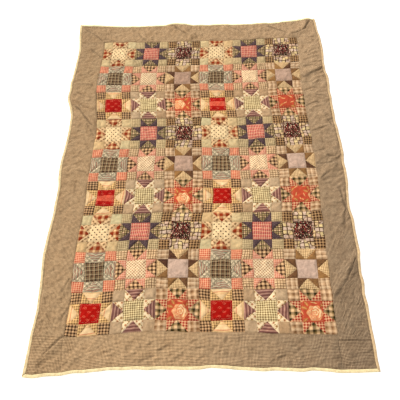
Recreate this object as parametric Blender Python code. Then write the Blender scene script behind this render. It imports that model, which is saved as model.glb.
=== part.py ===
"""Patchwork bed quilt, laid out flat.

Metres, +Z up. X runs across the bed and +Y towards its head end. The pieces are a
panel of star blocks, four border strips, four corner squares and four binding strips
that fold over the edge. Each piece is drawn on a square cutting plan, whose zero is
the panel's head-end left corner, and laid() then carries every point of the plan to
where the washed, slightly pulled cloth lies.
"""

from collections import namedtuple
from math import cos, hypot, pi

import bmesh
import bpy
from mathutils import Matrix, Vector

# Cutting plan
BLOCK = 0.2032  # one star block, finished
BLOCKS_ACROSS = 6
BLOCKS_DOWN = 9
BORDER = 0.1524  # panel seam to finished edge
SHORT_CORNER = 0.0254  # how much shorter the foot right corner square was cut
BINDING = 0.0127  # finished width of the binding
TUCKED_IN = 0.009  # how far the quilt's edge goes into the folded binding

# Thicknesses, with the top, filling and back as one
AT_SEAMS = 0.0046
AT_PUFFS = 0.0064
IN_BINDING = 0.0030  # the pressed edge inside the binding
BINDING_LIP = 0.0012
BINDING_THICKNESS = 0.0060
BINDING_SHOULDER = 0.0104  # where the binding starts to turn round the edge
PRESSED_BY_LIP = 0.0045  # the quilt thins over this width beside the lip

GAP = 0.0003  # between two pieces
MITRE_BACK = GAP / 2 * 2**0.5  # along the edge, for that gap across a mitre

CELLS_IN_BLOCK = 4  # along each side, as a block has four patches there
BORDER_CELLS = 4  # across the flat of a border, with two narrow ones more at its edge

PANEL_WIDTH = BLOCKS_ACROSS * BLOCK
PANEL_LENGTH = BLOCKS_DOWN * BLOCK
LIP_LINE = BORDER - BINDING
SHORT_CORNER_SEAM = PANEL_LENGTH + SHORT_CORNER  # where the right border ends instead

# How far the cloth has pulled out of square. Each line of the plan lies at `at` blocks,
# and each row is a crest or hollow of its waves: `along` in blocks, `shift` in mm.
Wave = namedtuple("Wave", "along shift")
Line = namedtuple("Line", "at waves")
EDGE_BLOCKS = BORDER / BLOCK

# Lines that run from head to foot, shifted to the right
LENGTHWAYS = [
    Line(-EDGE_BLOCKS, [  # left edge
        Wave(-0.85, -32), Wave(0.50, -14), Wave(2.15, -32), Wave(2.80, 3), Wave(3.40, 5),
        Wave(4.50, -10), Wave(5.30, -2), Wave(7.05, -19), Wave(8.30, -8), Wave(9.90, -20),
    ]),
    Line(0, [  # left seam
        Wave(0, -4), Wave(1.70, -18), Wave(3.60, 14), Wave(4.80, 3), Wave(5.40, 5),
        Wave(7.00, -11), Wave(8.00, -6), Wave(9.00, -9),
    ]),
    Line(BLOCKS_ACROSS / 2, [
        Wave(0, -4), Wave(1.50, -10), Wave(3.50, 4), Wave(5.50, 10), Wave(7.60, -10),
        Wave(9.00, -7),
    ]),
    Line(BLOCKS_ACROSS, [  # right seam
        Wave(0, -4), Wave(1.50, -12), Wave(5.20, 9), Wave(6.80, 1), Wave(9.00, 0),
    ]),
    Line(BLOCKS_ACROSS + EDGE_BLOCKS, [  # right edge
        Wave(-0.85, -24), Wave(0.50, -3), Wave(1.25, -13), Wave(1.75, -2), Wave(3.20, 0),
        Wave(4.00, 9), Wave(5.20, 6), Wave(5.90, -6), Wave(6.60, 7), Wave(7.70, -1),
        Wave(8.50, 0), Wave(9.40, 7), Wave(9.85, 6),
    ]),
]

# Lines that run from left to right, shifted towards the foot
CROSSWAYS = [
    Line(-EDGE_BLOCKS, [  # head edge
        Wave(-0.90, -18), Wave(0.75, 5), Wave(1.80, 1), Wave(2.45, -9), Wave(2.80, 3),
        Wave(4.00, 8), Wave(5.00, 5), Wave(6.60, -22),
    ]),
    Line(0, [Wave(0, -6), Wave(1.50, 2), Wave(3.50, 2), Wave(6.00, -7)]),  # head seam
    Line(BLOCKS_DOWN / 2, [Wave(0, 8), Wave(2.00, 2), Wave(4.00, 8), Wave(6.00, -3)]),
    Line(BLOCKS_DOWN, [Wave(0, 7), Wave(2.00, -15), Wave(3.50, -9), Wave(6.00, 2)]),  # foot
    Line(BLOCKS_DOWN + EDGE_BLOCKS, [  # foot edge
        Wave(-0.60, 28), Wave(1.20, -3), Wave(2.10, -4), Wave(3.30, -7), Wave(4.50, 4),
        Wave(5.20, 4), Wave(6.45, 13), Wave(6.80, 10),
    ]),
]

# Folds that stand up from the bed: two ends in blocks, half width and height in mm
Fold = namedtuple("Fold", "across down to_across to_down reach height")
FOLDS = [
    Fold(-0.70, -0.56, -0.18, -0.12, 42, 8),  # head left corner
    Fold(0.85, -0.22, 1.30, -0.16, 40, 4),
    Fold(2.05, -0.72, 2.72, -0.24, 45, 8),
    Fold(3.85, -0.58, 4.22, -0.28, 40, 5),
    Fold(5.05, -0.58, 5.60, -0.20, 42, 6),
    Fold(6.48, -0.78, 6.20, -0.28, 42, 9),  # head right corner, curling to the seam
    Fold(6.20, -0.28, 5.78, -0.14, 42, 8),
    Fold(-0.60, 2.12, -0.12, 2.55, 40, 6),
    Fold(-0.78, 2.38, -0.10, 3.20, 48, 12),  # the long fold of the left border
    Fold(-0.60, 4.66, -0.10, 4.68, 38, 4),
    Fold(-0.08, 7.74, -0.26, 8.06, 38, 4),
    Fold(-0.06, 9.04, -0.52, 9.42, 42, 6),
    Fold(6.15, 1.48, 6.70, 1.22, 42, 8),
    Fold(6.25, 2.28, 6.70, 2.42, 40, 7),
    Fold(6.45, 3.05, 6.70, 3.48, 38, 6),
    Fold(6.15, 4.36, 6.62, 4.30, 40, 6),
    Fold(6.08, 5.04, 6.45, 4.66, 40, 6),
    Fold(6.60, 5.62, 6.62, 6.38, 42, 7),
    Fold(6.72, 7.20, 6.10, 8.10, 48, 11),  # the long fold of the right border
    Fold(1.62, 8.00, 2.05, 7.68, 45, 5),
]

MM = 0.001


def eased(share):
    """0 to 1, level at both ends."""
    return (1 - cos(pi * min(max(share, 0), 1))) / 2


def shift_on(waves, along):
    """The shift in metres at a place along one line, from crest to hollow."""
    if along <= waves[0].along:
        return waves[0].shift * MM
    for before, after in zip(waves, waves[1:]):
        if along <= after.along:
            share = eased((along - before.along) / (after.along - before.along))
            return (before.shift + (after.shift - before.shift) * share) * MM
    return waves[-1].shift * MM


def pulled(lines, place, along):
    """The shift in metres of a place between the lines, all in blocks."""
    for before, after in zip(lines, lines[1:]):
        if place <= after.at or after is lines[-1]:
            share = (place - before.at) / (after.at - before.at)
            near, far = shift_on(before.waves, along), shift_on(after.waves, along)
            return near + (far - near) * share


def fold_height(fold, across, down):
    """How high one fold lifts the cloth there, in metres."""
    run_x, run_y = fold.to_across - fold.across, fold.to_down - fold.down
    share = (across - fold.across) * run_x + (down - fold.down) * run_y
    share = min(max(share / (run_x**2 + run_y**2), 0), 1)
    off_x = across - fold.across - share * run_x
    off_y = down - fold.down - share * run_y
    off = hypot(off_x, off_y) * BLOCK / (fold.reach * MM)
    return fold.height * MM * eased(1 - off)


def lift(across, down):
    """How far the cloth stands off the bed. It is the same right across the binding."""
    across = min(max(across, -LIP_LINE), PANEL_WIDTH + LIP_LINE) / BLOCK
    down = min(max(down, -LIP_LINE), PANEL_LENGTH + LIP_LINE) / BLOCK
    return max(fold_height(fold, across, down) for fold in FOLDS)


def laid(across, down, height):
    """A point of the plan, in metres from its zero, on the cloth as it lies."""
    x = across + pulled(LENGTHWAYS, across / BLOCK, down / BLOCK)
    y = down + pulled(CROSSWAYS, down / BLOCK, across / BLOCK)
    return Vector((x, -y, height + lift(across, down)))


def on_line(distance, spacing):
    """Whether a distance is a whole number of spacings."""
    return abs(distance / spacing - round(distance / spacing)) * spacing < 2 * GAP


def past_lip(across, down):
    """Whether that place of the plan lies inside the binding."""
    beside = max(-across, across - PANEL_WIDTH)
    beyond = max(-down, down - PANEL_LENGTH)
    return max(beside, beyond) > LIP_LINE - 2 * GAP


def faces_of_cloth(across, down):
    """The heights of the cloth's underside and top there, before any fold."""
    if past_lip(across, down):
        return BINDING_LIP + GAP, BINDING_LIP + GAP + IN_BINDING
    in_panel = -GAP < across < PANEL_WIDTH + GAP and -GAP < down < PANEL_LENGTH + GAP
    seam = in_panel and (on_line(across, BLOCK) or on_line(down, BLOCK))
    beside_seam = on_line(across, PANEL_WIDTH) or on_line(down, PANEL_LENGTH)
    if across > PANEL_WIDTH + GAP and down > PANEL_LENGTH / 2:
        beside_seam = abs(down - SHORT_CORNER_SEAM) < 2 * GAP
    return 0, AT_SEAMS if seam or beside_seam else AT_PUFFS


def panel_places(length, cells):
    """Places along the panel, held back from its two seams by half the gap."""
    places = [length * i / cells for i in range(cells + 1)]
    places[0] += GAP / 2
    places[-1] -= GAP / 2
    return places


def border_places(start, outward):
    """Places across a border, from its seam out to the edge inside the binding."""
    flat = LIP_LINE - PRESSED_BY_LIP
    steps = [flat * i / BORDER_CELLS for i in range(BORDER_CELLS + 1)]
    steps[0] = GAP / 2
    steps += [LIP_LINE - GAP, LIP_LINE + TUCKED_IN - GAP]
    places = [start + outward * step for step in steps]
    return places if outward > 0 else places[::-1]


ACROSS = {
    "left": border_places(0, -1),
    "middle": panel_places(PANEL_WIDTH, BLOCKS_ACROSS * CELLS_IN_BLOCK),
    "right": border_places(PANEL_WIDTH, 1),
}
DOWN = {
    "head": border_places(0, -1),
    "middle": panel_places(PANEL_LENGTH, BLOCKS_DOWN * CELLS_IN_BLOCK),
    "foot": border_places(PANEL_LENGTH, 1),
}
# The same down the right side, where the strip runs on to the short corner square
DOWN_RIGHT = {
    "head": DOWN["head"],
    "middle": [*DOWN["middle"][:-1], PANEL_LENGTH, SHORT_CORNER_SEAM - GAP / 2],
    "foot": [SHORT_CORNER_SEAM + GAP / 2, *DOWN["foot"][1:]],
}


def cotton(name, colour):
    material = bpy.data.materials.new(name)
    material.use_nodes = True
    surface = material.node_tree.nodes["Principled BSDF"]
    surface.inputs["Base Color"].default_value = (*colour, 1)
    surface.inputs["Roughness"].default_value = 0.92
    surface.inputs["Metallic"].default_value = 0
    material.diffuse_color = (*colour, 1)
    return material


def finished(name, mesh, material):
    """Makes the object of a bmesh whose faces form one closed skin."""
    bmesh.ops.recalc_face_normals(mesh, faces=mesh.faces)
    data = bpy.data.meshes.new(name)
    mesh.to_mesh(data)
    mesh.free()
    data.materials.append(material)
    data.shade_smooth()
    piece = bpy.data.objects.new(name, data)
    bpy.context.scene.collection.objects.link(piece)
    return piece


def cut_cloth(name, across_places, down_places, material):
    """One flat piece of the quilt: its underside, its top and the cut edges between."""
    mesh = bmesh.new()
    under, top = [], []
    for down in down_places:
        heights = [faces_of_cloth(across, down) for across in across_places]
        row = list(zip(across_places, heights))
        under.append([mesh.verts.new(laid(a, down, low)) for a, (low, _) in row])
        top.append([mesh.verts.new(laid(a, down, high)) for a, (_, high) in row])
    for i in range(len(down_places) - 1):
        for j in range(len(across_places) - 1):
            for side in (under, top):
                mesh.faces.new((side[i][j], side[i][j + 1], side[i + 1][j + 1], side[i + 1][j]))
    for row in (0, -1):
        for j in range(len(across_places) - 1):
            mesh.faces.new((under[row][j], under[row][j + 1], top[row][j + 1], top[row][j]))
    for column in (0, -1):
        for i in range(len(down_places) - 1):
            low, high = under[i][column], under[i + 1][column]
            mesh.faces.new((low, high, top[i + 1][column], top[i][column]))
    return finished(name, mesh, material)


def binding_section():
    """The folded strip cut across: (distance out from its lip line, height) pairs."""
    slot_top = BINDING_THICKNESS - BINDING_LIP
    return [
        (0, BINDING_THICKNESS),
        (BINDING_SHOULDER, BINDING_THICKNESS),
        (BINDING, BINDING_THICKNESS / 2),
        (BINDING_SHOULDER, 0),
        (0, 0),
        (0, BINDING_LIP),
        (TUCKED_IN, BINDING_LIP),
        (TUCKED_IN, slot_top),
        (0, slot_top),
    ]


def bind_edge(name, places, length, point_at, material):
    """A binding strip along one edge, mitred at both ends.

    places: where the cloth it holds has its own places along that edge
    point_at: gives (across, down) of the plan from (along, distance past the lip line)
    """
    mesh = bmesh.new()
    rings = []
    last = len(places) - 1
    for i, along in enumerate(places):
        ring = []
        for out, height in binding_section():
            if i == 0:
                along = -LIP_LINE - out + MITRE_BACK
            elif i == last:
                along = length + LIP_LINE + out - MITRE_BACK
            ring.append(mesh.verts.new(laid(*point_at(along, out), height)))
        rings.append(ring)
    count = len(rings[0])
    for ring, following in zip(rings, rings[1:]):
        for k in range(count):
            after = (k + 1) % count
            mesh.faces.new((ring[k], ring[after], following[after], following[k]))
    mesh.faces.new(rings[0])
    mesh.faces.new(rings[-1])
    return finished(name, mesh, material)


def edge_places(parts):
    """Places along a whole edge. The first and last only stand for the mitred ends."""
    before, middle, after = parts.values()
    return [*before[:-1], *middle, *after[1:]]


def build():
    patchwork = cotton("patchwork cotton", (0.42, 0.33, 0.24))
    border = cotton("border cotton", (0.33, 0.25, 0.16))
    edging = cotton("binding cotton", (0.72, 0.56, 0.34))

    pieces = [cut_cloth("patchwork_panel", ACROSS["middle"], DOWN["middle"], patchwork)]
    for end in ("head", "foot"):
        pieces.append(cut_cloth(f"border_{end}", ACROSS["middle"], DOWN[end], border))
    for side, down in (("left", DOWN), ("right", DOWN_RIGHT)):
        pieces.append(cut_cloth(f"border_{side}", ACROSS[side], down["middle"], border))
        for end in ("head", "foot"):
            pieces.append(cut_cloth(f"corner_{end}_{side}", ACROSS[side], down[end], border))

    edges = {
        "head": (ACROSS, PANEL_WIDTH, lambda along, out: (along, -LIP_LINE - out)),
        "foot": (
            ACROSS,
            PANEL_WIDTH,
            lambda along, out: (along, PANEL_LENGTH + LIP_LINE + out),
        ),
        "left": (DOWN, PANEL_LENGTH, lambda along, out: (-LIP_LINE - out, along)),
        "right": (
            DOWN_RIGHT,
            PANEL_LENGTH,
            lambda along, out: (PANEL_WIDTH + LIP_LINE + out, along),
        ),
    }
    for name, (parts, length, point_at) in edges.items():
        places = edge_places(parts)
        pieces.append(bind_edge(f"binding_{name}", places, length, point_at, edging))
    return pieces


def put_origin_under_middle(pieces):
    """Moves the quilt so that zero is on the bed under the middle of its outline."""
    corners = [vertex.co for piece in pieces for vertex in piece.data.vertices]
    middle_x = (min(c.x for c in corners) + max(c.x for c in corners)) / 2
    middle_y = (min(c.y for c in corners) + max(c.y for c in corners)) / 2
    lowest = min(c.z for c in corners)
    for piece in pieces:
        piece.data.transform(Matrix.Translation((-middle_x, -middle_y, -lowest)))


for leftover in list(bpy.data.objects):
    bpy.data.objects.remove(leftover)
put_origin_under_middle(build())
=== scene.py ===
"""How the patchwork quilt looks: its patches, borders and binding as sewn cotton.

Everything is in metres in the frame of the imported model, with +Y to the head end and +Z
up out of the patchwork. Each piece of cloth is drawn on the square cutting plan, whose
zero is the panel's head-end left corner, and laid() carries every point of the plan to
where the pulled and folded cloth lies. Patterns read a map of each patch in millimetres
along its threads, so that a check or a stripe follows its own patch.
"""

from collections import namedtuple
from math import cos, pi, radians, sin

import bmesh
import bpy
import numpy as np
from mathutils import Matrix, Vector


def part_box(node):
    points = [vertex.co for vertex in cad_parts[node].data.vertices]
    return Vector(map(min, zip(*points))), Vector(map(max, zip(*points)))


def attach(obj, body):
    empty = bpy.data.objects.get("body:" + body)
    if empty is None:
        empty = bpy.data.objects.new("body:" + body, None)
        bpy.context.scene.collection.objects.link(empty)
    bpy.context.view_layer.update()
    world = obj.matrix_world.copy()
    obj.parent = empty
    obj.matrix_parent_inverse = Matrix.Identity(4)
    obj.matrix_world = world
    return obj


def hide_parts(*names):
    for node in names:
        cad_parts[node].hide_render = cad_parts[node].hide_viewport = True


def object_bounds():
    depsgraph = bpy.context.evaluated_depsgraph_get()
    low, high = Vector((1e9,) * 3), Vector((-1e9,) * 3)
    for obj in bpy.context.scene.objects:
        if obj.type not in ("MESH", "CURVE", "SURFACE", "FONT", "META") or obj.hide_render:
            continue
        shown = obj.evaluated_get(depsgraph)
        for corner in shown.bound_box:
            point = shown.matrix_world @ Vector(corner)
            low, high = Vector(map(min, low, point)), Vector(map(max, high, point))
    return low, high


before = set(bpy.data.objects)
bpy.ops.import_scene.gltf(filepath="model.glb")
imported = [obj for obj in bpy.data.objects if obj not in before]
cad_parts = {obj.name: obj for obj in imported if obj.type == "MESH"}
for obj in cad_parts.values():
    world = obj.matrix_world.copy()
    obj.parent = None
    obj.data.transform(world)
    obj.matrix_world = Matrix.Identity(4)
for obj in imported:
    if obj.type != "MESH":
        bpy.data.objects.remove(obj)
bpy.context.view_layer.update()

MM = 0.001
NEARLY = 1e-5  # metres that make no difference
NOTHING, FAR = 1e-6, 0.05  # keep a distance from a seam within bounds

# ------------------------------------------------------------------ cutting plan

BLOCK = 0.2032  # one star block, finished
BLOCKS_ACROSS = 6
BLOCKS_DOWN = 9
UNITS = 4  # along a block's side: a patch, the centre square's two and a patch
UNIT = BLOCK / UNITS
OUTER_PATCH = 0.264 * BLOCK  # what the units at the block's sides really measure
BORDER = 0.1524  # panel seam to finished edge
SHORT_CORNER = 0.0254  # how much shorter the foot right corner square was cut
BINDING = 0.0127
TUCKED_IN = 0.009  # how far the quilt's edge goes into the folded binding
LIP_LINE = BORDER - BINDING  # where the binding's lip lies on the border
PANEL_WIDTH = BLOCKS_ACROSS * BLOCK
PANEL_LENGTH = BLOCKS_DOWN * BLOCK

CELLS = 16  # of the top's mesh, along a unit
UNDER_CELLS = 8  # cells of the top to one cell of the underside

# ------------------------------------------------------------------ how the cloth lies

# How far the cloth has pulled out of square. Each line of the plan lies at `at` blocks,
# and its waves are crests and hollows: a place along it in blocks, and the shift in mm.
Line = namedtuple("Line", "at waves")
EDGE_BLOCKS = BORDER / BLOCK

# Lines that run from head to foot, shifted to the right
LENGTHWAYS = [
    Line(-EDGE_BLOCKS, [  # left edge
        (-0.85, -32), (0.50, -14), (2.15, -32), (2.80, 3), (3.40, 5),
        (4.50, -10), (5.30, -2), (7.05, -19), (8.30, -8), (9.90, -20),
    ]),
    Line(0, [  # left seam
        (0, -4), (1.70, -18), (3.60, 14), (4.80, 3), (5.40, 5),
        (7.00, -11), (8.00, -6), (9.00, -9),
    ]),
    Line(BLOCKS_ACROSS / 2, [
        (0, -4), (1.50, -10), (3.50, 4), (5.50, 10), (7.60, -10),
        (9.00, -7),
    ]),
    Line(BLOCKS_ACROSS, [  # right seam
        (0, -4), (1.50, -12), (5.20, 9), (6.80, 1), (9.00, 0),
    ]),
    Line(BLOCKS_ACROSS + EDGE_BLOCKS, [  # right edge
        (-0.85, -24), (0.50, -3), (1.25, -13), (1.75, -2), (3.20, 0),
        (4.00, 9), (5.20, 6), (5.90, -6), (6.60, 7), (7.70, -1),
        (8.50, 0), (9.40, 7), (9.85, 6),
    ]),
]

# Lines that run from left to right, shifted towards the foot
CROSSWAYS = [
    Line(-EDGE_BLOCKS, [  # head edge
        (-0.90, -18), (0.75, 5), (1.80, 1), (2.45, -9), (2.80, 3),
        (4.00, 8), (5.00, 5), (6.60, -22),
    ]),
    Line(0, [(0, -6), (1.50, 2), (3.50, 2), (6.00, -7)]),  # head seam
    Line(BLOCKS_DOWN / 2, [(0, 8), (2.00, 2), (4.00, 8), (6.00, -3)]),
    Line(BLOCKS_DOWN, [(0, 7), (2.00, -15), (3.50, -9), (6.00, 2)]),  # foot
    Line(BLOCKS_DOWN + EDGE_BLOCKS, [  # foot edge
        (-0.60, 28), (1.20, -3), (2.10, -4), (3.30, -7), (4.50, 4),
        (5.20, 4), (6.45, 13), (6.80, 10),
    ]),
]

# Folds that stand up from the bed: two ends in blocks, half width and height in mm
Fold = namedtuple("Fold", "across down to_across to_down reach height")
FOLDS = [Fold(*row) for row in [
    (-0.70, -0.56, -0.18, -0.12, 42, 8),  # head left corner
    (0.85, -0.22, 1.30, -0.16, 40, 4),
    (2.05, -0.72, 2.72, -0.24, 45, 8),
    (3.85, -0.58, 4.22, -0.28, 40, 5),
    (5.05, -0.58, 5.60, -0.20, 42, 6),
    (6.48, -0.78, 6.20, -0.28, 42, 9),  # head right corner, curling to the seam
    (6.20, -0.28, 5.78, -0.14, 42, 8),
    (-0.60, 2.12, -0.12, 2.55, 40, 6),
    (-0.78, 2.38, -0.10, 3.20, 48, 12),  # the long fold of the left border
    (-0.60, 4.66, -0.10, 4.68, 38, 4),
    (-0.08, 7.74, -0.26, 8.06, 38, 4),
    (-0.06, 9.04, -0.52, 9.42, 42, 6),
    (6.15, 1.48, 6.70, 1.22, 42, 8),
    (6.25, 2.28, 6.70, 2.42, 40, 7),
    (6.45, 3.05, 6.70, 3.48, 38, 6),
    (6.15, 4.36, 6.62, 4.30, 40, 6),
    (6.08, 5.04, 6.45, 4.66, 40, 6),
    (6.60, 5.62, 6.62, 6.38, 42, 7),
    (6.72, 7.20, 6.10, 8.10, 48, 11),  # the long fold of the right border
    (1.62, 8.00, 2.05, 7.68, 45, 5),
]]

# Creases, thin troughs pressed into the cloth: the points that each passes, in blocks,
# and its half width and depth in mm
Crease = namedtuple("Crease", "path width depth")
CREASES = [Crease(*row) for row in [
    # head border
    ([(-0.60, -0.56), (-0.34, -0.32), (-0.02, -0.02)], 4.5, 5.0),
    ([(0.00, -0.17), (0.18, -0.09), (0.36, -0.01)], 4, 3.0),
    ([(1.00, -0.44), (1.14, -0.22), (1.32, -0.04)], 4, 3.5),
    ([(2.00, -0.71), (2.16, -0.62), (2.40, -0.41), (2.66, -0.22)], 4.5, 4.5),
    ([(3.82, -0.62), (4.15, -0.47), (4.34, -0.34)], 4, 3.5),
    ([(5.04, -0.62), (5.30, -0.47), (5.55, -0.32), (5.80, -0.14)], 4.5, 5.0),
    ([(6.58, -0.68), (6.46, -0.52), (6.32, -0.35), (6.09, -0.20), (5.76, -0.13)], 5, 6.0),
    # left border
    ([(-0.66, 0.02), (-0.45, 0.04), (-0.24, 0.07)], 3.5, 2.5),
    ([(-0.46, 0.22), (-0.28, 0.38), (-0.16, 0.50), (-0.02, 0.66)], 4.5, 4.0),
    ([(-0.10, 1.29), (-0.35, 1.31), (-0.64, 1.34)], 4, 2.5),
    ([(-0.02, 1.76), (-0.28, 1.70), (-0.56, 1.64)], 4, 3.0),
    ([(-0.04, 2.20), (-0.30, 2.13), (-0.60, 1.90)], 4.5, 3.0),
    ([(-0.04, 2.70), (-0.30, 2.55), (-0.57, 2.36)], 4.5, 3.0),
    ([(-0.64, 2.46), (-0.40, 2.80), (-0.22, 3.08), (-0.06, 3.26)], 5.5, 6.0),
    ([(-0.27, 3.10), (-0.16, 3.32), (-0.04, 3.60)], 4.5, 3.5),
    ([(-0.03, 4.73), (-0.20, 4.69), (-0.40, 4.64)], 4.5, 3.5),
    ([(-0.29, 4.96), (-0.29, 5.34)], 4, 2.0),
    ([(-0.03, 7.62), (-0.14, 7.84), (-0.24, 8.04)], 4.5, 3.5),
    ([(-0.01, 8.32), (-0.15, 8.66)], 4.5, 3.0),
    ([(0.03, 8.97), (-0.14, 9.08), (-0.26, 9.18), (-0.44, 9.36)], 4, 6.0),
    ([(-0.62, 9.20), (-0.44, 9.16), (-0.26, 9.14)], 3.5, 2.5),
    # right border
    ([(6.72, 0.98), (6.62, 1.02), (6.36, 1.06)], 4, 3.0),
    ([(6.73, 1.16), (6.54, 1.23), (6.36, 1.15), (6.01, 1.23)], 4.5, 4.0),
    ([(6.70, 1.26), (6.58, 1.36), (6.30, 1.48), (6.00, 1.66)], 5, 5.5),
    ([(6.34, 1.77), (6.02, 1.81)], 4, 2.5),
    ([(6.26, 2.05), (6.01, 2.14)], 4, 3.5),
    ([(6.70, 2.44), (6.50, 2.34), (6.28, 2.32)], 4.5, 4.5),
    ([(6.44, 2.52), (6.20, 2.60), (6.00, 2.70)], 4.5, 4.0),
    ([(6.62, 3.00), (6.50, 3.07), (6.53, 3.22), (6.68, 3.50)], 4.5, 4.5),
    ([(6.56, 3.40), (6.25, 3.47), (6.00, 3.59)], 4.5, 4.0),
    ([(6.72, 4.00), (6.62, 4.24), (6.55, 4.37), (6.26, 4.38)], 4.5, 4.5),
    ([(6.34, 4.14), (6.16, 4.20), (6.00, 4.26)], 4, 4.0),
    ([(6.52, 4.58), (6.20, 4.60), (6.00, 4.61)], 4.5, 4.0),
    ([(6.38, 4.82), (6.22, 4.94), (6.04, 5.12)], 4.5, 4.0),
    ([(6.50, 5.26), (6.57, 5.60), (6.64, 5.96), (6.56, 6.14), (6.43, 6.74)], 5, 5.5),
    ([(6.60, 5.80), (6.34, 5.80)], 3.5, 3.0),
    ([(6.73, 7.14), (6.58, 7.40), (6.38, 7.78), (6.18, 8.02), (6.01, 8.24)], 5.5, 6.5),
    ([(6.48, 7.28), (6.26, 7.28)], 3.5, 2.5),
    # foot border
    ([(1.66, 9.63), (1.86, 9.54), (2.04, 9.46)], 4, 4.5),
    ([(2.06, 9.41), (2.42, 9.22)], 3.5, 3.5),
    ([(4.46, 9.62), (4.66, 9.52), (4.88, 9.43)], 4.5, 3.5),
    # panel
    ([(1.62, 8.00), (2.05, 7.68)], 6, 1.5),
]]

# Heights and distances, with the top, filling and back as one
AT_SEAMS = 0.0030
PRESSED = 0.0045  # the border's top where the binding takes hold of it
PRESSED_BY_LIP = 0.009
IN_BINDING = (0.0016, 0.0044)  # the pressed edge inside the binding, under and top
THINNEST = 0.0016  # in the deepest creases
PUFF = 0.0036  # how far a patch's middle stands above its seams
BORDER_PUFF = 0.0026
SEAM_PULL = 0.0060  # the distance over which a seam pulls the cloth down
PUCKERED = (0.002, 0.010)  # where the puckers beside a seam begin and end
QUILTED_AT = 0.0065  # from the seam round each centre square to the quilting inside it
FURROW = (0.0012, 0.0032)  # how deep and wide the quilting pulls the cloth down

# Layers of bumps: how far apart they are, how high, and their seed
STRAYING = [(0.055, 0.0034, 3), (0.055, 0.0034, 4)]  # of hand piecing, across and down
CREASE_SWAY = (0.035, 0.003, 5)
PLUMPER = (0.045, 0.35, 11)  # a share of the puff
PUCKERS = (0.008, 0.0006, 12)
WASHED = [(0.021, 0.0023, 13), (0.011, 0.0014, 14)]
ROLLING = (0.110, 0.0010, 15)
BORDER_DIMPLES = (0.048, 0.0016, 16)
SEAM_SHADE_UNEVENNESS = (0.042, 0.60, 17)  # of the shade along seams
GATHERS = [(0.0085, 0.00045, 31), (0.030, 0.0004, 32)]  # of the binding
LIP_SWAY = (0.045, 0.0007, 33)

# Painted shade laid into the colour of the seams, creases and hollows, and of the border beside
# the binding's lip
SEAM_SHADE = 0.72
SEAM_SHADE_RANGE = (0.15, 1.15)
LIP_SHADE = 0.6
DEEP_CREASE = 0.005  # the depth that has the full shade
HOLLOW = 0.0018  # the depth of a washing wrinkle that counts as a full hollow
HOLLOW_SHADE = 0.25
CREASE_ENDS = 0.16  # the share of a crease over which it fades out

# Wrinkles of the border: the direction that they run in, in degrees from across and
# towards the foot, their length, distance apart and height in mm, and how much of them
# is regular ribs. Then the layers of their drift and strength, each without its seed,
# and how far the drift carries them in metres and turns their ribs in radians
Wrinkles = namedtuple("Wrinkles", "lean length apart height regular")
WRINKLES = {
    "head": Wrinkles(72, 60, 24, 1.2, 0.2),
    "left": Wrinkles(8, 50, 24, 2.2, 0.2),
    "low left": Wrinkles(45, 26, 17, 2.4, 0.0),
    "right": Wrinkles(-17, 60, 27, 3.2, 0.2),
    "low right": Wrinkles(-60, 80, 12, 1.5, 0.8),
    "foot": Wrinkles(-13, 60, 18, 2.2, 0.3),
}
DRIFT, STRENGTH = (0.06, 1), (0.05, 0.5)
DRIFT_SHIFT, DRIFT_TURN = 0.012, 2.5
PART_BLEND = 0.05  # how softly one side's wrinkles turn into the next one's
LOW_FROM, LOWER_FROM, LOW_BLEND = 6.0, 7.2, 1.2  # down the right and left side, in blocks


def eased(share):
    """0 to 1, level at both ends."""
    return (1 - np.cos(np.pi * np.clip(share, 0, 1))) / 2


def shift_on(waves, along):
    """The shift in metres along one line, from crest to hollow."""
    stops, shifts = np.array(waves).T
    shifts = shifts * MM
    before = np.clip(np.searchsorted(stops, along, side="right") - 1, 0, len(stops) - 2)
    share = eased((along - stops[before]) / (stops[before + 1] - stops[before]))
    return shifts[before] + (shifts[before + 1] - shifts[before]) * share


def pulled(lines, place, along):
    """The shift in metres of places between the lines, all in blocks."""
    shift = np.zeros_like(place)
    for before, after in zip(lines, lines[1:]):
        here = (place > before.at) | (before is lines[0])
        share = (place - before.at) / (after.at - before.at)
        near, far = shift_on(before.waves, along), shift_on(after.waves, along)
        shift = np.where(here, near + (far - near) * share, shift)
    return shift


def beside(start, end, across, down):
    """Metres from a line between two points to places in blocks, and how far along it."""
    run_x, run_y = end[0] - start[0], end[1] - start[1]
    share = (across - start[0]) * run_x + (down - start[1]) * run_y
    share = np.clip(share / (run_x**2 + run_y**2), 0, 1)
    off_x = across - start[0] - share * run_x
    off_y = down - start[1] - share * run_y
    return np.hypot(off_x, off_y) * BLOCK, share


def lift(across, down):
    """How far the cloth stands off the bed. It is the same right across the binding."""
    across = np.clip(across, -LIP_LINE, PANEL_WIDTH + LIP_LINE) / BLOCK
    down = np.clip(down, -LIP_LINE, PANEL_LENGTH + LIP_LINE) / BLOCK
    height = np.zeros_like(across)
    for fold in FOLDS:
        start, end = (fold.across, fold.down), (fold.to_across, fold.to_down)
        off, _ = beside(start, end, across, down)
        height = np.maximum(height, fold.height * MM * eased(1 - off / (fold.reach * MM)))
    return height


LATTICE = 61  # random values each way, after which uneven() comes round again


def uneven(across, down, apart, height, seed):
    """Smooth random bumps, so far apart, from -height to height."""
    values = np.random.default_rng(seed).uniform(-1, 1, (LATTICE, LATTICE))
    x, y = across / apart, down / apart
    column, row = np.floor(x).astype(int), np.floor(y).astype(int)
    share_x, share_y = eased(x - column), eased(y - row)

    def value(right, below):
        return values[(row + below) % LATTICE, (column + right) % LATTICE]

    near = value(0, 0) * (1 - share_x) + value(1, 0) * share_x
    far = value(0, 1) * (1 - share_x) + value(1, 1) * share_x
    return (near * (1 - share_y) + far * share_y) * height


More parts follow.
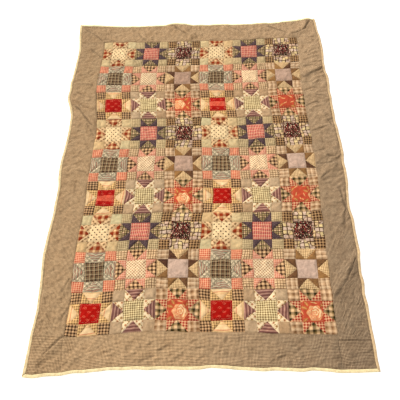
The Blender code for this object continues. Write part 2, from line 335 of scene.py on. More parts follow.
def creased(across, down):
    """How deep the creases are pressed there, in metres. Each one fades at its ends."""
    sway = uneven(across, down, *CREASE_SWAY)
    depth = np.zeros_like(across)
    for crease in CREASES:
        nearest = np.full_like(across, np.inf)
        along = np.zeros_like(across)
        parts = len(crease.path) - 1
        for i in range(parts):
            start, end = crease.path[i], crease.path[i + 1]
            off, share = beside(start, end, across / BLOCK, down / BLOCK)
            along = np.where(off < nearest, (i + share) / parts, along)
            nearest = np.minimum(off, nearest)
        fade = eased(np.minimum(along, 1 - along) / CREASE_ENDS)
        trough = np.exp(-np.abs((nearest + sway) / (crease.width * MM)) ** 1.5)
        depth = np.maximum(depth, crease.depth * MM * fade * trough)
    return depth


def plan_to_row():
    """What moves the laid plan so that the panel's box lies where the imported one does."""
    round_rim = np.linspace(0, 1, 200)
    zeros, ones = np.zeros(200), np.ones(200)
    across = np.concatenate([round_rim, round_rim, zeros, ones]) * PANEL_WIDTH
    down = np.concatenate([zeros, ones, round_rim, round_rim]) * PANEL_LENGTH
    x = across + pulled(LENGTHWAYS, across / BLOCK, down / BLOCK)
    y = -down - pulled(CROSSWAYS, down / BLOCK, across / BLOCK)
    low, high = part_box("patchwork_panel")
    middle_x = (low[0] + high[0] - x.min() - x.max()) / 2
    middle_y = (low[1] + high[1] - y.min() - y.max()) / 2
    return middle_x, middle_y


SHIFT_X, SHIFT_Y = plan_to_row()
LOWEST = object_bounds()[0][2]


def laid(across, down, height):
    """Points of the plan, in metres from its zero, on the cloth as it lies."""
    across, down = np.broadcast_arrays(np.asarray(across, float), np.asarray(down, float))
    by_hand_x, by_hand_y = (uneven(across, down, *layer) for layer in STRAYING)
    x = across + by_hand_x + pulled(LENGTHWAYS, across / BLOCK, down / BLOCK)
    y = down + by_hand_y + pulled(CROSSWAYS, down / BLOCK, across / BLOCK)
    z = height + lift(across, down) + LOWEST
    return np.stack([x + SHIFT_X, SHIFT_Y - y, z + 0 * x], axis=-1)


# ------------------------------------------------------------------ patches of a block

CENTRE, CORNER, GOOSE, POINT = range(4)  # GOOSE is the large triangle of a side
# A block's patches are numbered: its centre, four corners, four geese and eight points
FIRST_CORNER, FIRST_GOOSE, FIRST_POINT, PATCH_NUMBERS = 1, 5, 9, 17
HEAD_GOOSE, LEFT_GOOSE, RIGHT_GOOSE, FOOT_GOOSE = range(FIRST_GOOSE, FIRST_POINT)


def folded(place):
    """A place in a block, in units from its nearer side, and whether it is in the far half."""
    inside = np.mod(place, BLOCK)
    nearer = np.minimum(inside, BLOCK - inside)
    in_centre = 1 + (nearer - OUTER_PATCH) / (BLOCK / 2 - OUTER_PATCH)
    units = np.where(nearer < OUTER_PATCH, nearer / OUTER_PATCH, in_centre)
    return units, inside > BLOCK / 2


def patch_at(across, down):
    """Each place's kind of patch, its number within the block, and metres to its seam."""
    x, far_x = folded(across)
    y, far_y = folded(down)
    outer, inner = np.minimum(x, y), np.maximum(x, y)
    quarter = far_x + 2 * far_y
    on_side = (outer < 1) & (inner >= 1)
    goose = on_side & (outer < inner - 1)
    kinds = [outer >= 1, inner < 1, goose]
    kind = np.select(kinds, [CENTRE, CORNER, GOOSE], POINT)
    side = np.where(y < x, 3 * far_y, 1 + far_x)  # head, left, right, foot
    point = FIRST_POINT + 2 * quarter + (y < x)
    number = np.select(kinds, [0, FIRST_CORNER + quarter, FIRST_GOOSE + side], point)
    slant = np.abs(inner - 1 - outer) / 2**0.5
    seams = [outer - 1, np.minimum(outer, 1 - inner), np.minimum(outer, slant)]
    of_point = np.minimum(np.minimum(slant, inner - 1), 1 - outer)
    return kind, number.astype(int), np.select(kinds, seams, of_point) * UNIT


def furrowed(kind, seam):
    """How deep the quilting pulls the cloth down, in metres."""
    deep, wide = FURROW
    off = (seam - QUILTED_AT) / wide
    return np.where(kind == CENTRE, deep * np.exp(-off * off), 0)


def outside(across, down):
    """Metres from the panel's sides and from its ends, below 0 within them."""
    to_side = np.maximum(-across, across - PANEL_WIDTH)
    return to_side, np.maximum(-down, down - PANEL_LENGTH)


def in_panel(across, down):
    to_side, to_end = outside(across, down)
    return (to_side < 0) & (to_end < 0)


# How plainly the seams of the corner squares show, from 0 to 1: head and foot, each
# left and right
CORNER_SEAMS = np.array([[0.08, 0.2], [0.12, 0.9]])


def border_rise(across, down):
    """How far the border has risen from its seams, from 0 on a seam to 1 well off it."""
    right, foot = across > PANEL_WIDTH / 2, down > PANEL_LENGTH / 2
    out_x, out_y = (np.maximum(out, 0) for out in outside(across, down))
    short = np.where(right & foot, SHORT_CORNER, 0)
    to_line_x = np.minimum(np.abs(across), np.abs(across - PANEL_WIDTH))
    to_line_x = np.hypot(to_line_x, np.maximum(short - out_y, 0))
    to_line_y = np.minimum(np.abs(down), np.abs(down - PANEL_LENGTH - short))
    strip_end = np.where(out_x > 0, to_line_y, to_line_x)
    in_corner = (out_x > 0) & (out_y > 0)
    to_corner_seam = np.where(in_corner, np.minimum(to_line_x, to_line_y), strip_end)
    shows = CORNER_SEAMS[foot.astype(int), right.astype(int)]
    from_panel = 1 - np.exp(-np.hypot(out_x, out_y) / SEAM_PULL)
    return from_panel * (1 - shows * np.exp(-to_corner_seam / SEAM_PULL))


def past_lip(across, down):
    """Metres from the binding's lip line, outwards."""
    return np.maximum(*outside(across, down)) - LIP_LINE


def at_binding(across, down, in_binding, height):
    """A height where the binding holds the cloth's edge, and another one elsewhere."""
    return np.where(past_lip(across, down) > -NEARLY, in_binding, height)


def border_share(across, down):
    """How much of each part of the border a place has, from 0 to 1."""
    foot = eased((down - PANEL_LENGTH) / PART_BLEND)
    head = eased(-down / PART_BLEND)
    right = eased((across - PANEL_WIDTH) / PART_BLEND) * (1 - foot) * (1 - head)
    left = eased(-across / PART_BLEND) * (1 - foot) * (1 - head)
    low = eased((down / BLOCK - LOW_FROM) / LOW_BLEND)
    lower = eased((down / BLOCK - LOWER_FROM) / LOW_BLEND)
    return {
        "head": head, "left": left * (1 - lower), "low left": left * lower,
        "right": right * (1 - low), "low right": right * low, "foot": foot,
    }


def wrinkled(across, down):
    """The wrinkles of the border, from about -1 to 1, and their height there in metres."""
    level = np.zeros_like(across)
    reach = np.zeros_like(across)
    for seed, (part, share) in enumerate(border_share(across, down).items()):
        lean, length, apart, rise, regular = WRINKLES[part]
        drift = uneven(across, down, *DRIFT, 40 + seed)
        turn_x, turn_y = cos(radians(lean)), sin(radians(lean))
        along = across * turn_x + down * turn_y
        aside = down * turn_x - across * turn_y + drift * DRIFT_SHIFT
        squeezed = along * apart / length
        loose = uneven(squeezed, aside, apart * MM / 2, 1, 50 + seed)
        ribs = np.cos(aside * 2 * pi / (apart * MM) + drift * DRIFT_TURN)
        strength = 0.5 + uneven(across, down, *STRENGTH, 60 + seed)
        level = level + share * (loose + ribs * strength * regular)
        reach = reach + share * rise * MM
    return level, reach


def top_of_cloth(across, down):
    """The top's height above the bed before any fold, the light that the painted shade of its
    seams, where it is less puffed, and of the binding's lip leaves, and the painted shade of
    its creases and hollows, both from 0 to about 1."""
    inside = in_panel(across, down)
    kind, _, own_seam = patch_at(across, down)
    furrow = np.where(inside, furrowed(kind, own_seam), 0)
    rise = np.where(inside, 1 - np.exp(-own_seam / SEAM_PULL), border_rise(across, down))
    seam = np.minimum(-SEAM_PULL * np.log(1 - rise + NOTHING), FAR)
    begin, end = PUCKERED
    puckers = uneven(across, down, *PUCKERS) * np.exp(-seam / end) * (1 - np.exp(-seam / begin))
    washed = sum(uneven(across, down, *layer) for layer in WASHED)
    level, reach = wrinkled(across, down)
    level = np.where(inside, 0, level)
    puffs = np.where(inside, PUFF * (1 + uneven(across, down, *PLUMPER)), BORDER_PUFF)
    dimples = np.where(inside, 0, uneven(across, down, *BORDER_DIMPLES))
    height = AT_SEAMS + (puffs + washed + level * reach + dimples) * rise
    height = height + puckers + uneven(across, down, *ROLLING) - furrow
    pressing = eased(1 + past_lip(across, down) / PRESSED_BY_LIP)
    height = height + (PRESSED - height) * pressing
    crease = creased(across, down) * (1 - pressing)
    height = np.maximum(height - crease, THINNEST)
    height = at_binding(across, down, IN_BINDING[1], height)
    # Painted shade: creases and the hollows of washing and border wrinkles darken the colour
    hollow = np.clip(np.where(inside, -washed / HOLLOW, -level), 0, 1) * rise * (1 - pressing)
    # Painted shade: the colour darkens along seams, unevenly, and beside the binding's lip
    seam_shade = np.clip(SEAM_SHADE + uneven(across, down, *SEAM_SHADE_UNEVENNESS), *SEAM_SHADE_RANGE)
    painted_seam_and_lip_light = (1 - (1 - rise) * seam_shade) * (1 - LIP_SHADE * pressing)
    return height, painted_seam_and_lip_light, crease / DEEP_CREASE + HOLLOW_SHADE * hollow


def under_of_cloth(across, down):
    """The underside's height before any fold."""
    return at_binding(across, down, IN_BINDING[0], 0.0)


# ------------------------------------------------------------------ nodes written as sums


def socket_of(sockets, name):
    """A socket by its place in the node's list, or by its identifier."""
    if isinstance(name, int):
        return sockets[name]
    return next(socket for socket in sockets if socket.identifier == name)


def sum_of(operation):
    """An operator between two wires, or between a wire and a number."""
    return lambda wire, other: wire.maths(operation, other)


class Wire:
    """A number on its way between nodes. Sums with it add Math nodes to its tree."""

    def __init__(self, nodes, socket):
        self.nodes, self.socket = nodes, socket

    def maths(self, operation, *others):
        return self.nodes.add("ShaderNodeMath", {"operation": operation}, (self, *others))

    def other(self, name):
        """Another wire from the node that this one leaves."""
        return Wire(self.nodes, socket_of(self.socket.node.outputs, name))

    def __rsub__(self, number):
        return self.nodes.add("ShaderNodeMath", {"operation": "SUBTRACT"}, (number, self))

    def __abs__(self):
        return self.maths("ABSOLUTE")

    __add__ = __radd__ = sum_of("ADD")
    __sub__ = sum_of("SUBTRACT")
    __mul__ = __rmul__ = sum_of("MULTIPLY")
    __truediv__ = sum_of("DIVIDE")
    __mod__ = sum_of("FLOORED_MODULO")
    __pow__ = sum_of("POWER")


class Nodes:
    """A node tree, to which add() adds one node and gives the wire that leaves it."""

    def __init__(self, tree):
        self.tree = tree

    def add(self, kind, settings=None, sockets=(), out=0):
        node = self.tree.nodes.new(kind)
        for name, value in (settings or {}).items():
            if name == "stops":
                lay_stops(node.color_ramp, value)
            elif name == "color_ramp.interpolation":
                node.color_ramp.interpolation = value
            else:
                setattr(node, name, value)
        named = sockets.items() if isinstance(sockets, dict) else enumerate(sockets)
        for name, value in named:
            self.plug(socket_of(node.inputs, name), value)
        return Wire(self, socket_of(node.outputs, out))

    def plug(self, socket, value):
        if isinstance(value, Wire):
            self.tree.links.new(value.socket, socket)
        else:
            socket.default_value = value


class Finish(Nodes):
    """The material of one thing."""

    def __init__(self, name):
        self.material = bpy.data.materials.new(name)
        self.material.use_nodes = True
        super().__init__(self.material.node_tree)

    def surface(self, **sockets):
        """Sets the surface's sockets, named with _ for a space, and gives the material."""
        shader = self.tree.nodes["Principled BSDF"]
        for name, value in sockets.items():
            self.plug(shader.inputs[name.replace("_", " ")], value)
        return self.material

    def mix(self, share, first, second, blend="MIX"):
        """A colour between two."""
        settings = {"data_type": "RGBA", "blend_type": blend}
        sockets = {"Factor_Float": share, "A_Color": first, "B_Color": second}
        return self.add("ShaderNodeMix", settings, sockets, out="Result_Color")

    def bump(self, height, strength, distance):
        sockets = {"Strength": strength, "Distance": distance, "Height": height}
        return self.add("ShaderNodeBump", None, sockets)


def lay_stops(ramp, stops):
    """Gives a colour ramp its stops, each a (place, colour) pair."""
    while len(ramp.elements) > 1:
        ramp.elements.remove(ramp.elements[-1])
    for i, (place, colour) in enumerate(stops):
        element = ramp.elements[0] if i == 0 else ramp.elements.new(place)
        element.position = place
        element.color = colour


def dye(red, green, blue):
    """A colour as dyers' charts give it, 0 to 255, turned to the renderer's own scale."""

    def linear(value):
        value = value / 255
        return value / 12.92 if value <= 0.04045 else ((value + 0.055) / 1.055) ** 2.4

    return (linear(red), linear(green), linear(blue), 1)


# ------------------------------------------------------------------ cotton

THREAD = 0.62  # mm from one thread of the weave to the next
UNDYED = (1, 1, 1, 1)
TEA = dye(214, 172, 112)  # what old cotton yellows towards

# How large the clouds of each unevenness are, in clouds to a millimetre
FIBRES, CRINKLES, SPECKS, MOTTLES, TEA_CLOUDS, DYE_CLOUDS = 2.2, 0.22, 0.14, 0.05, 0.02, 0.12
STREAKS = (0.9, 0.03)  # across and along the threads

# How far each of them lightens and darkens the cloth, from its darkest to its lightest
WEAVE_SHADE, FIBRE_SHADE, STREAKY, MOTTLED, GRAINY = 0.07, 0.14, 0.12, 0.42, 0.30
BRIGHTNESS = 1.06
# Painted shade: how much light the colour loses in seams and creases
SEAM_DARK, CREASE_DARK = 0.32, 0.42  # how much light the seams and creases lose
# On the binding, the same tint is painted light and shade, one for each side
LOT_LIGHT, LOT_TEA, MOST_TEA = 0.10, 0.05, 0.24  # how dye lots differ in light and tea
ROUGH, FIBRE_ROUGH, WEAVE_SMOOTH = 0.9, 0.10, 0.03
WEAVE_HEIGHT, FIBRE_HEIGHT, CRINKLE_HEIGHT = 0.05, 0.05, 0.35  # in mm


class Cotton(Finish):
    """The material of one cloth. x and y run along its threads, in millimetres."""

    def __init__(self, name):
        super().__init__(name)
        self.place = self.scaled(self.add("ShaderNodeUVMap", {"uv_map": "Cloth"}), 1 / MM)
        self.x, self.y = self.part(self.place, 0), self.part(self.place, 1)

    def part(self, vector, index):
        return self.add("ShaderNodeSeparateXYZ", None, [vector], out=index)

    def scaled(self, vector, factor):
        """A longer vector, or a lighter or darker colour."""
        sockets = {"Vector": vector, "Scale": factor}
        return self.add("ShaderNodeVectorMath", {"operation": "SCALE"}, sockets)

    def through(self, colour, other):
        """A colour seen through another one."""
        return self.add("ShaderNodeVectorMath", {"operation": "MULTIPLY"}, [colour, other])

    def attribute(self, name):
        return self.add("ShaderNodeAttribute", {"attribute_name": name}, out="Fac")

    def noise(self, scale, detail=2, at=None, out=0):
        """Clouds of values round 0.5. The scale is in clouds to a millimetre."""
        sockets = {"Vector": at or self.place, "Scale": scale, "Detail": detail}
        return self.add("ShaderNodeTexNoise", {"noise_dimensions": "2D"}, sockets, out=out)

    def wandering(self, amount, scale=0.03):
        """x and y with their lines drawn a little out of true, by an amount in mm."""
        drift = self.noise(scale, out=1)
        x = self.x + (self.part(drift, 0) - 0.5) * amount
        y = self.y + (self.part(drift, 1) - 0.5) * amount
        return x, y

    def below(self, value, edge, soft):
        """1 where the value is below the edge, 0 above it."""
        sockets = {0: value, 1: edge - soft, 2: edge + soft, 3: 1, 4: 0}
        return self.add("ShaderNodeMapRange", {"interpolation_type": "SMOOTHSTEP"}, sockets)

    def clamped(self, value):
        return self.add("ShaderNodeClamp", None, {"Value": value, "Min": 0, "Max": 1})

    def sett(self, coordinate, bands, soft):
        """Bands of colour across one set of threads, each a (colour, width in mm) pair.
        The repeat starts in the middle of its first band."""
        repeat = sum(width for _, width in bands)
        edge = bands[0][1] / 2
        stops = [(0, dye(*bands[0][0]))]
        following = [*bands[1:], bands[0]]
        for (colour, _), (next_colour, width) in zip(bands, following):
            stops.append(((edge - soft) / repeat, dye(*colour)))
            stops.append(((edge + soft) / repeat, dye(*next_colour)))
            edge += width
        share = (coordinate / repeat) % 1
        return self.add("ShaderNodeValToRGB", {"stops": stops}, [share])

    def over_under(self):
        """1 where a lengthwise thread lies on top in the weave, 0 where it lies under."""
        across, along = self.x * (pi / THREAD), self.y * (pi / THREAD)
        return across.maths("SINE") * along.maths("SINE") * 0.5 + 0.5

    def streaks(self, along_x, along_y):
        """Clouds drawn out along the threads, by their two scales."""
        sockets = [self.x * along_x, self.y * along_y]
        return self.noise(1, at=self.add("ShaderNodeCombineXYZ", None, sockets))

    def finish(self, colour, streaky=STREAKY, mottle=MOTTLED, grain=GRAINY):
        """Threads, wear, washing, and painted shade in seams, creases and hollows and beside
        the binding's lip, over the colour of the cloth.
        """
        across, along = STREAKS
        weave = self.over_under()
        fibres = self.noise(FIBRES, detail=3)
        tint = self.attribute("Tint")
        light = BRIGHTNESS + (weave - 0.5) * WEAVE_SHADE + (fibres - 0.5) * FIBRE_SHADE
        light = light + (self.noise(MOTTLES, detail=4) - 0.5) * mottle
        light = light + (self.noise(SPECKS) - 0.5) * grain
        light = light + (self.streaks(across, along) + self.streaks(along, across) - 1) * streaky
        # Painted shade of seams and the binding's lip, then of creases and hollows; on the
        # binding the tint also paints each side's light and shade
        light = light * (1 - SEAM_DARK + SEAM_DARK * self.attribute("Puffed"))
        light = light * (1 - CREASE_DARK * self.attribute("Creased")) * (1 + LOT_LIGHT * tint)
        yellowed = self.noise(TEA_CLOUDS, detail=3) * MOST_TEA + tint * LOT_TEA
        aged = self.through(colour, self.mix(yellowed, UNDYED, TEA))
        crinkle = self.noise(CRINKLES) * CRINKLE_HEIGHT
        height = weave * WEAVE_HEIGHT + fibres * FIBRE_HEIGHT + crinkle
        return self.surface(
            Base_Color=self.scaled(aged, light),
            Roughness=ROUGH + (fibres - 0.5) * FIBRE_ROUGH - weave * WEAVE_SMOOTH,
            Normal=self.bump(height, 0.7, MM),
            Specular_IOR_Level=0.08, Sheen_Weight=0.03, Sheen_Roughness=0.6,
        )


def plain(name, colour, other=None):
    """Plain cloth, whose patches and threads lie between two dye lots."""
    cloth = Cotton(name)
    # On the binding, the tint carries each side's painted light and shade
    lot = cloth.noise(DYE_CLOUDS, detail=4) * 0.8 + cloth.attribute("Tint") * 0.45 + 0.1
    return cloth.finish(cloth.mix(lot, dye(*colour), dye(*(other or colour))), mottle=0.7)


def woven(name, warp, weft=None, soft=0.5, wander=1.2, balance=0.5, bold=0):
    """Checks, plaids and stripes: the warp's bands lie beside each other along x, and
    the weft's along y. Where they cross both show, and the darker one more so the
    bolder the cloth is, from 0 to 1."""
    cloth = Cotton(name)
    x, y = cloth.wandering(wander)
    lengthwise, crosswise = cloth.sett(x, warp, soft), cloth.sett(y, weft or warp, soft)
    share = balance + (cloth.over_under() - 0.5) * 0.5
    colour = cloth.mix(share, lengthwise, crosswise)
    for threads in (lengthwise, crosswise) if bold else ():
        colour = cloth.mix(bold, colour, threads, "DARKEN")
    return cloth.finish(colour)


def repeated(place, repeat, start=0.5):
    """A place measured from the middle of its own repeat of a print."""
    return ((place / repeat + start) % 1 - 0.5) * repeat


def staggered(x, y, across, rows):
    """Two wires each for the two lattices of a half-drop print, from a motif's middle."""
    return [(repeated(x, across, half), repeated(y, rows, half)) for half in (0, 0.5)]


def dotted(name, ground, dot, across, rows, size, wander=1.5):
    """Small slanting specks in a half-drop lattice. Sizes are in mm, size as the speck's
    length and width."""
    cloth = Cotton(name)
    x, y = cloth.wandering(wander, 0.05)
    colour = dye(*ground)
    for near_x, near_y in staggered(x, y, across, rows):
        along = (near_x + near_y) * (2**0.5 / size[0])
        aside = (near_x - near_y) * (2**0.5 / size[1])
        away = (along * along + aside * aside) ** 0.5
        colour = cloth.mix(cloth.below(away, 1, 0.3), colour, dye(*dot))
    return cloth.finish(colour)


def trellised(name, ground, dash, pitch, length, width):
    """A trellis of dashes that lean to the left and the right in turn."""
    cloth = Cotton(name)
    x, y = cloth.wandering(1.0, 0.05)
    falling, rising = (x + y) / (2**0.5 * pitch), (x - y) / (2**0.5 * pitch)
    near_fall, near_rise = falling % 1 - 0.5, rising % 1 - 0.5
    turn = (falling - near_fall + rising - near_rise) % 2
    turned = cloth.below(abs(turn - 1), 0.5, 0.01)

    def stroke(along, aside):
        inside = cloth.below(abs(along), length / pitch / 2, 0.08)
        return inside * cloth.below(abs(aside), width / pitch / 2, 0.06)

    marks = stroke(near_fall, near_rise) * turned + stroke(near_rise, near_fall) * (1 - turned)
    return cloth.finish(cloth.mix(marks, dye(*ground), dye(*dash)))


def speckled(name, ground, specks, across, rows, cover):
    """A dense small print of upright specks in several colours."""
    cloth = Cotton(name)
    x, y = cloth.wandering(3.0, 0.06)
    place = cloth.add("ShaderNodeCombineXYZ", None, [x / across + y * 0.05, y / rows])
    sockets = {"Vector": place, "Scale": 1, "Randomness": 0.9}
    spots = {"voronoi_dimensions": "2D", "feature": "F1"}
    away = cloth.add("ShaderNodeTexVoronoi", spots, sockets)
    own = cloth.add("ShaderNodeTexVoronoi", spots, sockets, out="Color")
    stops = [(i / len(specks), dye(*speck)) for i, speck in enumerate(specks)]
    chart = {"stops": stops, "color_ramp.interpolation": "CONSTANT"}
    speck = cloth.add("ShaderNodeValToRGB", chart, [cloth.part(own, 0)])
    size = cover * (0.55 + 0.45 * cloth.part(own, 1))
    mask = cloth.below(away - size, 0, 0.08)
    return cloth.finish(cloth.mix(mask, dye(*ground), speck))


def flower_mask(cloth, x, y, radius, petals, depth=0.3, turn=0.0):
    """1 inside a flower of round petals about the middle of x and y."""
    away = (x * x + y * y) ** 0.5
    wave = (y.maths("ARCTAN2", x) * petals + turn).maths("COSINE")
    return cloth.below(away - radius * (1 - depth + wave * depth), 0, 0.5)


def flowered(name, ground, petal, heart, leaf, across, rows, radius):
    """Round flowers with a leaf beside each, in a half-drop lattice."""
    cloth = Cotton(name)
    x, y = cloth.wandering(6.0, 0.04)
    colour = dye(*ground)
    for i, (near_x, near_y) in enumerate(staggered(x, y, across, rows)):
        leaf_x = near_x - radius * 1.3
        leaf_y = near_y + radius * (0.9 - 1.6 * i)
        slim = (leaf_x + leaf_y) ** 2 * 0.35 + (leaf_x - leaf_y) ** 2 * 1.8
        colour = cloth.mix(cloth.below(slim**0.5, radius * 0.6, 0.4), colour, dye(*leaf))
        bloom = flower_mask(cloth, near_x, near_y, radius, 5, 0.15)
        colour = cloth.mix(bloom, colour, dye(*petal[i % len(petal)]))
        middle = flower_mask(cloth, near_x, near_y, radius * 0.45, 5, 0.1)
        colour = cloth.mix(middle, colour, dye(*heart))
    return cloth.finish(colour)


def sprigged(name, ground, sprig, across, rows, reach, width, band=None):
    """Small curling sprigs: a bent stem with a leaf and a bud, in a half-drop lattice.
    A band is a (colour, width, repeat in mm) of speckled cloth between the sprigs."""
    cloth = Cotton(name)
    x, y = cloth.wandering(7.0, 0.05)
    colour = dye(*ground)
    for i, (near_x, near_y) in enumerate(staggered(x, y, across, rows)):
        bend = (1 - 2 * i) * (near_x * near_x / reach - reach * 0.4)
        stem = cloth.below(abs(near_y - bend), width / 2, 0.4)
        stem = stem * cloth.below(abs(near_x), reach, 0.5)
        leaf_y = near_y - (1 - 2 * i) * reach * 0.35
        leaf = cloth.below(abs(leaf_y - near_x * 0.6), width * 0.6, 0.4)
        leaf = leaf * cloth.below(abs(near_x), reach * 0.5, 0.5)
        bud = flower_mask(cloth, near_x - reach * 0.7, near_y, width * 1.2, 3)
        marks = stem.maths("MAXIMUM", leaf).maths("MAXIMUM", bud)
        colour = cloth.mix(marks, colour, dye(*sprig))
    if band:
        tone, wide, repeat = band
        inside = cloth.below(abs((y / repeat) % 1 - 0.5), wide / repeat / 2, 0.004)
        grains = cloth.below(cloth.noise(0.35, detail=1), 0.5, 0.06)
        speckle = cloth.mix(grains, dye(*tone), dye(*sprig))
        colour = cloth.mix(inside, colour, speckle)
    return cloth.finish(colour)


def leaf_mask(cloth, x, y, middle, lean, length, width):
    """1 inside a pointed leaf."""
    off_x, off_y = x - middle[0], y - middle[1]
    along = (off_x * cos(lean) + off_y * sin(lean)) / (length / 2)
    aside = (off_y * cos(lean) - off_x * sin(lean)) / (width / 2)
    return cloth.below(abs(aside) + along * along, 1, 0.12)


BLOOM_REPEAT = 150  # mm from bloom to bloom
LEAVES = [
    ((-44, -26), 0.5, 34, 15), ((-32, -44), 1.2, 30, 13), ((38, -38), -0.8, 32, 14),
    ((48, 22), 0.9, 30, 13), ((-46, 28), -0.6, 30, 13), ((12, 50), 1.5, 28, 12),
]
SPRIGS = [
    ((-55, -4), 1.3, 26, 6), ((55, -10), -1.1, 26, 6), ((2, -48), 0.3, 32, 7),
    ((-18, 52), -0.3, 30, 6), ((34, 48), 0.5, 24, 6), ((-56, 52), 0.8, 34, 7),
    ((58, -54), -0.7, 30, 7), ((52, 58), 0.1, 26, 7), ((-48, -58), -0.4, 26, 7),
    ((70, 16), 1.4, 20, 6), ((-68, 24), 0.5, 18, 6), ((10, -68), -0.2, 20, 6),
]
# Each layer of petals: radius, how many, depth of the notches, turn, its middle, and how
# pale it is
PETALS = [
    (37, 6, 0.07, 0.0, (0, 0), 0.35), (31, 5, 0.11, 0.9, (3, -3), 0.95),
    (25, 4, 0.12, 2.0, (-3, -1), 0.1), (18.5, 5, 0.10, 0.4, (1, -5), 0.8),
    (12.5, 3, 0.18, 1.5, (-2, -3), 0.2), (7, 3, 0.2, 0.2, (0, -4), 0.9),
]


def bloomed(name, ground, petal, pale, line, leaf, sprig):
    """Large layered blooms with leaves and sprigs, one to each repeat of the cloth."""
    cloth = Cotton(name)
    x, y = cloth.wandering(9.0, 0.03)
    x, y = repeated(x, BLOOM_REPEAT), repeated(y, BLOOM_REPEAT)
    colour = dye(*ground)
    for marks, tone, middle_tone in ((SPRIGS, sprig, pale), (LEAVES, leaf, sprig)):
        for middle, lean, length, width in marks:
            inside = leaf_mask(cloth, x, y, middle, lean, length, width)
            colour = cloth.mix(inside, colour, dye(*tone))
            vein = leaf_mask(cloth, x, y, middle, lean, length * 0.8, width * 0.22)
            colour = cloth.mix(vein, colour, dye(*middle_tone))
    washed = (cloth.noise(0.06, detail=2) - 0.5) * 1.6
    for radius, petals, depth, turn, (middle_x, middle_y), paleness in PETALS:
        own_x, own_y = x - middle_x, y - middle_y
        outline = flower_mask(cloth, own_x, own_y, radius, petals, depth, turn)
        colour = cloth.mix(outline, colour, dye(*(sprig if paleness < 0.5 else line)))
        inner = flower_mask(cloth, own_x, own_y, radius - 2.2, petals, depth, turn)
        filling = cloth.mix(cloth.clamped(washed + paleness), dye(*petal), dye(*pale))
        colour = cloth.mix(inner, colour, filling)
    return cloth.finish(colour)


